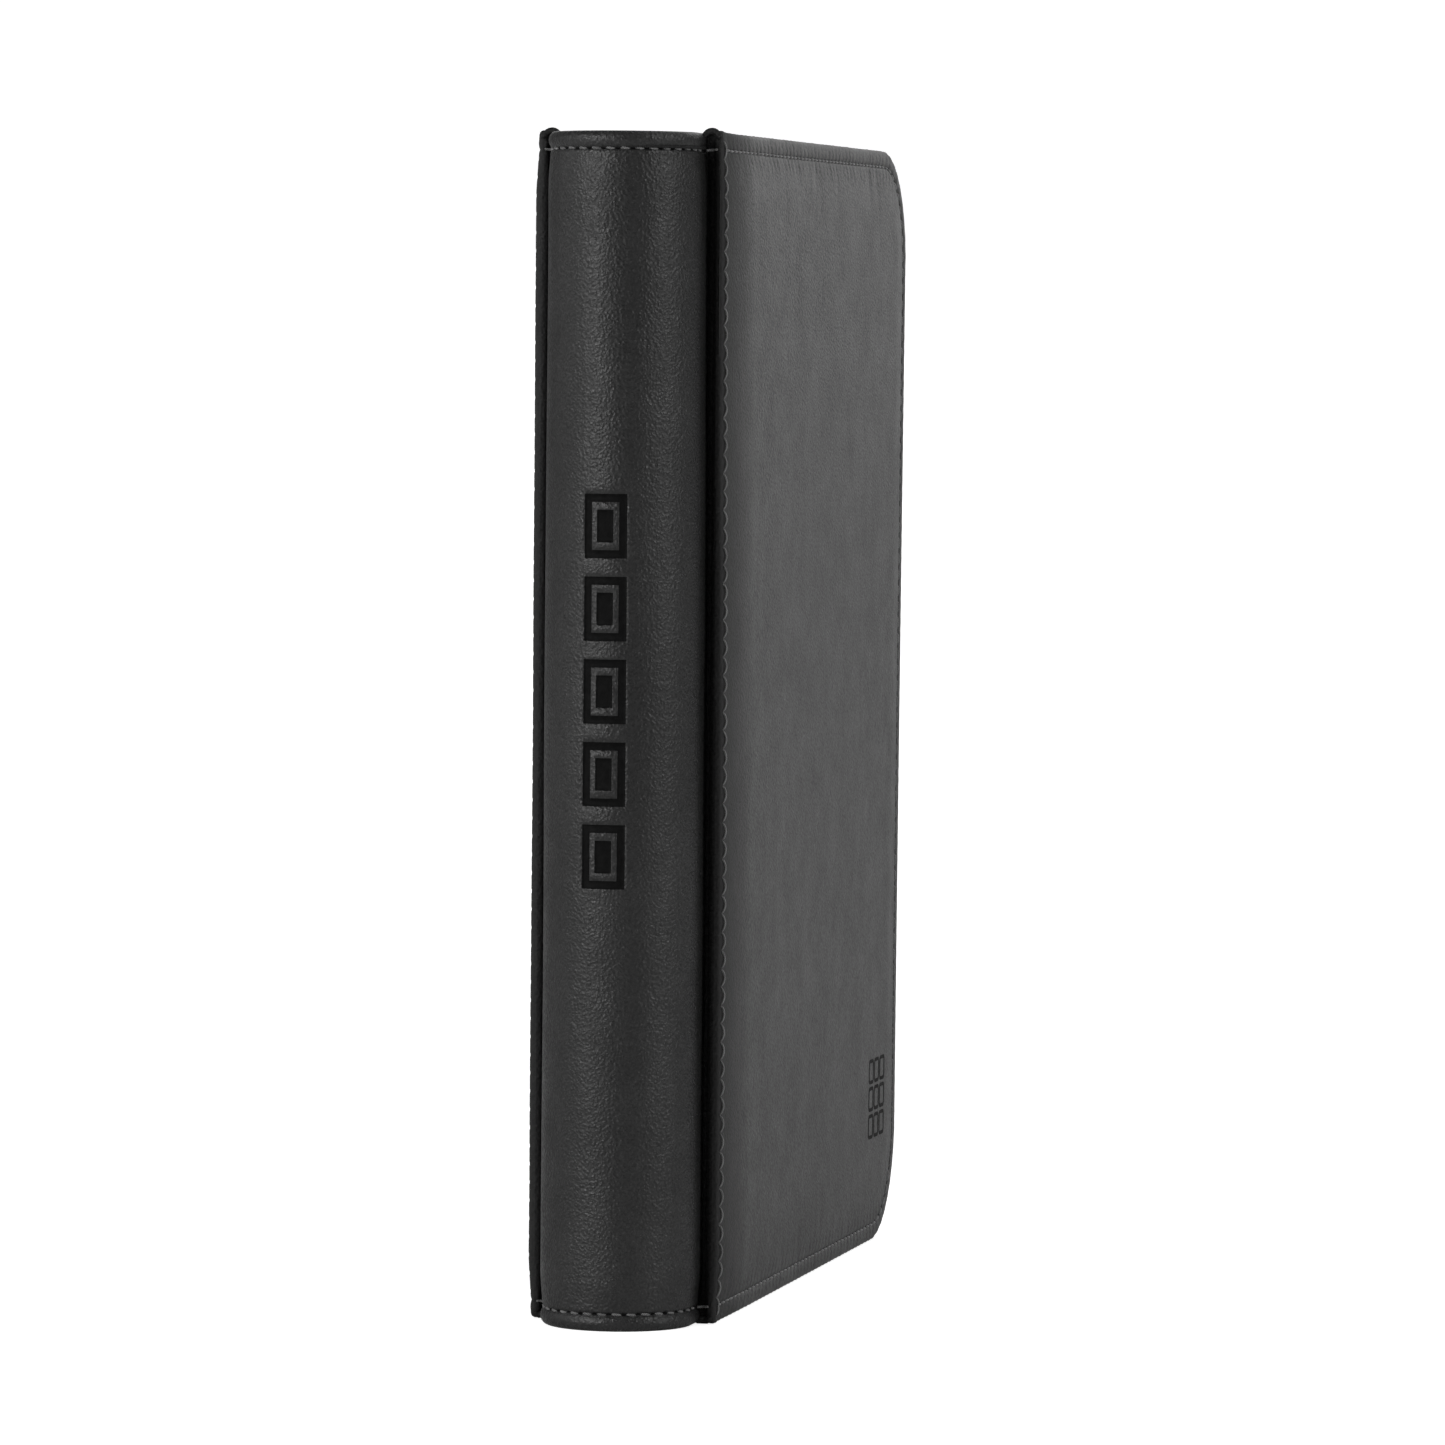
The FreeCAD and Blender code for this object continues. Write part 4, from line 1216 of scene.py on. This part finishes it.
def leather(name, tone, grain=0.0003, cloud=0.5, rough=0.45, specular=0.5, pores=0.35, sheen=0.28,
            seam_shade_and_dull=False):
    """Embossed leatherette: cloudy tone, pebble grain, fine creases and dark pores.

    sheen is how much the gloss changes from patch to patch; the seam flag paints shade beside
    the cover's seam by darkening the colour there, and makes the gloss duller there.
    """
    n = Nodes(name)
    wide = n.noise(24.0, detail=5.0, roughness=0.62)
    blotch = n.noise(95.0, detail=4.0, roughness=0.6)
    colour = n.ramp(wide, (0.33, tone * (1 - 0.6 * cloud)), (0.67, tone * (1 + 0.9 * cloud)))
    colour = n.times(colour, n.ramp(blotch, (0.33, 1 - 0.45 * cloud), (0.67, 1.0)))
    speck = n.noise(1050.0, roughness=0.7)
    colour = n.times(colour, n.ramp(speck, (0.36, 1 - pores), (0.52, 1.0)))
    tops = n.ramp(n.cells(GRAIN_SCALE, feature="SMOOTH_F1"), (0.0, 1.0), (0.75, 0.0))
    crease = n.cells(GRAIN_SCALE * 0.8, feature="DISTANCE_TO_EDGE")
    colour = n.times(colour, n.ramp(crease, (0.0, 1 - pores), (0.10, 1.0)))
    relief = n.mix(n.mix(tops, n.ramp(crease, (0.0, 0.0), (0.16, 1.0)), 0.12), n.noise(2100.0), 0.24)
    normal = n.bump(relief, grain, 0.9, under=n.bump(n.noise(150.0), 0.0003, 0.35))
    patch = n.mix(n.mix(n.mix(blotch, n.noise(420.0, detail=4.0), 0.35), speck, 0.45), tops, 0.25)
    roughness = n.ramp(patch, (0.36, rough + 0.8 * sheen), (0.66, rough - 0.2 * sheen))
    if seam_shade_and_dull:
        along = n.add("ShaderNodeSeparateXYZ")
        n.link(n.place, along.inputs[0])
        near = n.math("MULTIPLY", n.math("SUBTRACT", along.outputs["Y"], EDGE_Y * MM), 1 / SEAM_SHADE_WIDTH)
        # Painted shade: the colour darkens towards the cover's seam; the gloss is also duller there.
        colour = n.times(colour, n.ramp(near, (0.0, 0.35), (1.0, 1.0)))
        roughness = n.mix((0.85, 0.85, 0.85), roughness, n.ramp(near, (0.15, 0.25), (1.0, 1.0)))
    return n.finish(colour, roughness, normal, Specular_IOR_Level=specular)


def pressed_leather():
    n = Nodes("pressed_leather")
    normal = n.bump(n.cells(1500.0, feature="SMOOTH_F1"), 0.00004, 0.5)
    return n.finish(n.between(500.0, 0.003, 0.006), n.between(900.0, 0.55, 0.70), normal,
                    Specular_IOR_Level=0.06)


def thread_material():
    n = Nodes("sewing_thread")
    twist = n.wave(900.0, "DIAGONAL", 2.0)
    fibre = n.noise(6000.0, detail=2.0)
    colour = n.times(n.between(260.0, 0.10, 0.19), n.ramp(twist, (0.2, 0.55), (0.8, 1.15)))
    normal = n.bump(n.mix(twist, fibre, 0.4), 0.00008, 0.8)
    return n.finish(colour, n.between(fibre, 0.42, 0.6), normal, Sheen_Weight=0.3, Sheen_Roughness=0.4)


def hole_shade_material():
    # Near-black lenses: painted shade for the insides of the needle holes.
    n = Nodes("needle_hole")
    return n.finish(n.between(3000.0, 0.0012, 0.004), n.between(2500.0, 0.8, 0.95), Specular_IOR_Level=0.1)


def cloth(name, tone, scale, depth=0.00012, axes=("Y", "Z")):
    """Woven cloth: a set of threads across each named axis, with fibre noise."""
    n = Nodes(name)
    weave = n.cells(scale * 1.6)
    for axis in axes:
        weave = n.math("MULTIPLY", n.math("ADD", weave, 0.4), n.wave(scale, axis, 0.35))
    fibre = n.noise(3600.0)
    colour = n.times(n.between(55.0, tone * 0.75, tone * 1.25), n.ramp(weave, (0.0, 0.55), (0.7, 1.2)))
    normal = n.bump(n.mix(weave, fibre, 0.35), depth, 0.8)
    return n.finish(colour, n.between(fibre, 0.77, 0.91), normal, Sheen_Weight=0.4, Sheen_Roughness=0.5)


def metal_material():
    n = Nodes("black_plated_metal")
    wear = n.noise(240.0, detail=5.0, roughness=0.65)
    colour = n.ramp(wear, (0.35, 0.022), (0.62, 0.05), (0.8, 0.12))
    scratch = n.noise(1.0, detail=4.0, vector=n.scaled(2400.0, 260.0, 2400.0))
    normal = n.bump(n.mix(scratch, n.noise(1800.0), 0.4), 0.00002, 0.6)
    return n.finish(colour, n.between(scratch, 0.24, 0.42), normal, Metallic=0.92)


def coil_material():
    n = Nodes("coil_nylon")
    normal = n.bump(n.noise(4200.0, detail=2.0), 0.00003, 0.5)
    return n.finish(n.between(300.0, 0.012, 0.03), n.between(900.0, 0.28, 0.42), normal, Coat_Weight=0.15,
                    Coat_Roughness=0.3)


def leaf_material():
    n = Nodes("leaf_centre_sheet")
    normal = n.bump(n.mix(n.cells(1500.0), n.noise(5000.0), 0.3), 0.00005, 0.7)
    return n.finish(n.between(40.0, 0.010, 0.018), n.between(300.0, 0.42, 0.56), normal)


def film_material():
    n = Nodes("clear_pocket_film")
    haze = n.noise(90.0, detail=4.0)
    normal = n.bump(n.mix(n.noise(26.0, detail=2.0), n.noise(2600.0), 0.12), 0.0006, 0.35)
    return n.finish(n.between(haze, (0.80, 0.82, 0.84), (0.90, 0.91, 0.93)), n.between(haze, 0.10, 0.20),
                    normal, Alpha=0.16, Specular_IOR_Level=0.6)


def rough_board(name, tone):
    n = Nodes(name)
    fibre = n.noise(1.0, detail=5.0, vector=n.scaled(900.0, 900.0, 160.0))
    colour = n.between(fibre, tuple(0.75 * c for c in tone), tuple(1.2 * c for c in tone))
    normal = n.bump(n.mix(fibre, n.noise(3000.0), 0.5), 0.00012, 0.8)
    return n.finish(colour, n.between(fibre, 0.82, 0.94), normal)


def plastic_material():
    n = Nodes("binding_plastic")
    normal = n.bump(n.cells(2100.0, feature="SMOOTH_F1"), 0.00005, 0.6)
    return n.finish(n.between(120.0, 0.012, 0.022), n.between(500.0, 0.45, 0.62), normal)


SPINE_LEATHER = leather("spine_leatherette", 0.012, grain=0.00030, cloud=0.75, rough=0.34, pores=0.7)
COVER_LEATHER = leather("cover_leatherette", 0.030, grain=0.00022, cloud=0.28, rough=0.42, pores=0.3,
                        sheen=0.16, seam_shade_and_dull=True)
# A darker, duller copy of the leatherette: painted shade for the gutter, its ears, the spine's end panels and
# the cover's strip beside the gutter.
GUTTER_SHADE_LEATHER = leather("gutter_leatherette_painted_shade", 0.008, cloud=0.3, rough=0.55, specular=0.3)
PRESSED_LEATHER = pressed_leather()
THREAD_MAT = thread_material()
HOLE_SHADE_MAT = hole_shade_material()
LINING_MAT = cloth("lining_cloth", 0.020, 1500.0)
TAPE_MAT = cloth("zip_tape_cloth", 0.016, 1100.0, depth=0.00016, axes=("X",))
METAL = metal_material()
COIL_MAT = coil_material()
LEAF_MAT = leaf_material()
FILM_MAT = film_material()

CARRIED_OVER = {
    "spine_former": rough_board("former_board", (0.10, 0.085, 0.065)),
    "spine_board": rough_board("spine_board_lining", (0.020, 0.020, 0.021)),
    "page_binding_web": plastic_material(), "binding_rivets": METAL,
    "front_cover_board": rough_board("cover_board", (0.16, 0.13, 0.09)),
}
CARRIED_OVER["back_cover_board"] = CARRIED_OVER["front_cover_board"]


def finish_frame_nodes():
    for name, material in CARRIED_OVER.items():
        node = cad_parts[name]
        for slot in node.material_slots:
            slot.material = material


# ---- stage ----
CAMERA_AT = (532.5, EDGE_Y - 2266.9, 283.0)
CAMERA_YAW, CAMERA_PITCH, CAMERA_ROLL = 12.547, 2.728, 0.478    # degrees
FOCAL_LENGTH = 203.27


def facing(right, up, forward, place):
    """The matrix of a camera or light at a place in metres that looks along forward."""
    return Matrix([[right[k], up[k], -forward[k], place[k]] for k in range(3)] + [[0, 0, 0, 1]])


def camera():
    yaw, pitch, roll = (math.radians(a) for a in (CAMERA_YAW, CAMERA_PITCH, CAMERA_ROLL))
    forward = np.array([-math.sin(yaw) * math.cos(pitch), math.cos(yaw) * math.cos(pitch), -math.sin(pitch)])
    right = np.array([math.cos(yaw), math.sin(yaw), 0.0])
    up = np.cross(right, forward)
    right, up = math.cos(roll) * right + math.sin(roll) * up, math.cos(roll) * up - math.sin(roll) * right
    data = bpy.data.cameras.new("camera")
    data.lens, data.sensor_width, data.clip_end = FOCAL_LENGTH, SENSOR, 50.0
    holder = linked("camera", data)
    holder.matrix_world = facing(right, up, forward, np.array(CAMERA_AT) * MM)
    bpy.context.scene.camera = holder


SENSOR = 36.0
WORLD_LIGHT = 0.10          # the white surroundings light the object this much
# Name, azimuth in degrees, distance, height, width and tallness in metres, power in watts.
SOFTBOXES = (("left", -31, 1.9, 0.85, 0.40, 1.3, 21), ("side", -84, 1.9, 0.85, 0.8, 1.3, 5),
             ("right", 74, 2.0, 1.05, 0.5, 1.4, 18), ("back", 178, 1.9, 1.2, 2.4, 2.0, 15),
             ("top", 125, 0.9, 2.2, 1.2, 1.2, 4))
FLOOR_NEAR, FLOOR_SIDE = -6000.0, 5000.0
WALL_Y, WALL_HEIGHT, WALL_BEND = 2600.0, 3600.0, 900.0      # the floor curves up into this wall


def softbox(name, azimuth, distance, height, width, tall, power):
    """An area light that faces the middle of the object; azimuth 0 is in front of the spine."""
    angle = math.radians(azimuth)
    data = bpy.data.lights.new(name, "AREA")
    data.shape, data.size, data.size_y, data.energy = "RECTANGLE", width, tall, power
    place = np.array([distance * math.sin(angle), -distance * math.cos(angle), height])
    forward = np.array([0, 0, HEIGHT / 2 * MM]) - place
    forward /= np.linalg.norm(forward)
    right = np.cross(forward, [0, 0, 1.0])
    right /= np.linalg.norm(right)
    linked(name, data).matrix_world = facing(right, np.cross(right, forward), forward, place)


def stage():
    """Pale floor that curves up into a backdrop, and soft studio lights."""
    n = Nodes("pale_floor")
    colour = n.ramp(n.noise(3.0), (0.3, 0.80), (0.7, 0.83))
    seen = n.add("ShaderNodeLightPath").outputs["Is Camera Ray"]
    n.finish(colour, n.ramp(n.noise(40.0), (0.3, 0.7), (0.7, 0.8)), Specular_IOR_Level=0.1)
    n.shader.inputs["Emission Color"].default_value = (1, 1, 1, 1)
    n.link(n.math("MULTIPLY", seen, 0.75), n.shader.inputs["Emission Strength"])
    flat = WALL_Y - WALL_BEND
    profile = [(FLOOR_NEAR, 0.0), (flat, 0.0)]
    profile += [(flat + WALL_BEND * math.sin(a), WALL_BEND * (1 - math.cos(a)))
                for a in np.linspace(0.1, math.pi / 2, 12)]
    profile.append((WALL_Y, WALL_HEIGHT))
    x = np.linspace(-FLOOR_SIDE, FLOOR_SIDE, 3)
    points = np.array([[[xx, y, z] for xx in x] for y, z in profile])
    floor = make_piece("floor", points.reshape(-1, 3), quads(len(profile), 3), n.material)
    world = bpy.data.worlds.new("studio")
    world.use_nodes = True
    tree = world.node_tree
    background = tree.nodes["Background"]
    background.inputs["Color"].default_value = (1, 1, 1, 1)
    path = tree.nodes.new("ShaderNodeLightPath")
    level = tree.nodes.new("ShaderNodeMapRange")
    level.inputs["To Min"].default_value = WORLD_LIGHT
    level.inputs["To Max"].default_value = 1.0
    tree.links.new(path.outputs["Is Camera Ray"], level.inputs["Value"])
    tree.links.new(level.outputs["Result"], background.inputs["Strength"])
    bpy.context.scene.world = world
    for name, *values in SOFTBOXES:
        softbox(f"{name}_softbox", *values)
    bpy.context.scene.view_settings.view_transform = "Standard"


# ---- the binder ----
def build():
    faces = {"front": CoverFace(3, TOP_PINCH), "back": CoverFace(8)}
    for side, face in faces.items():
        cover_leather(side, face)
        cover_stitching(side, face)
        cover_lining(side)
        gutter(side)
        gutter_ears(side)
        side_band(side)
        zip_tape(side)
        zip_coil(side)
    spine_leather()
    spine_stitching()
    for which in ("top", "bottom"):
        end_panel(which)
        end_tab(which)
    zip_end_parts()
    zip_slider()
    zip_pull()
    leaves()
    emblem(faces["front"])
    finish_frame_nodes()


camera()
stage()
build()
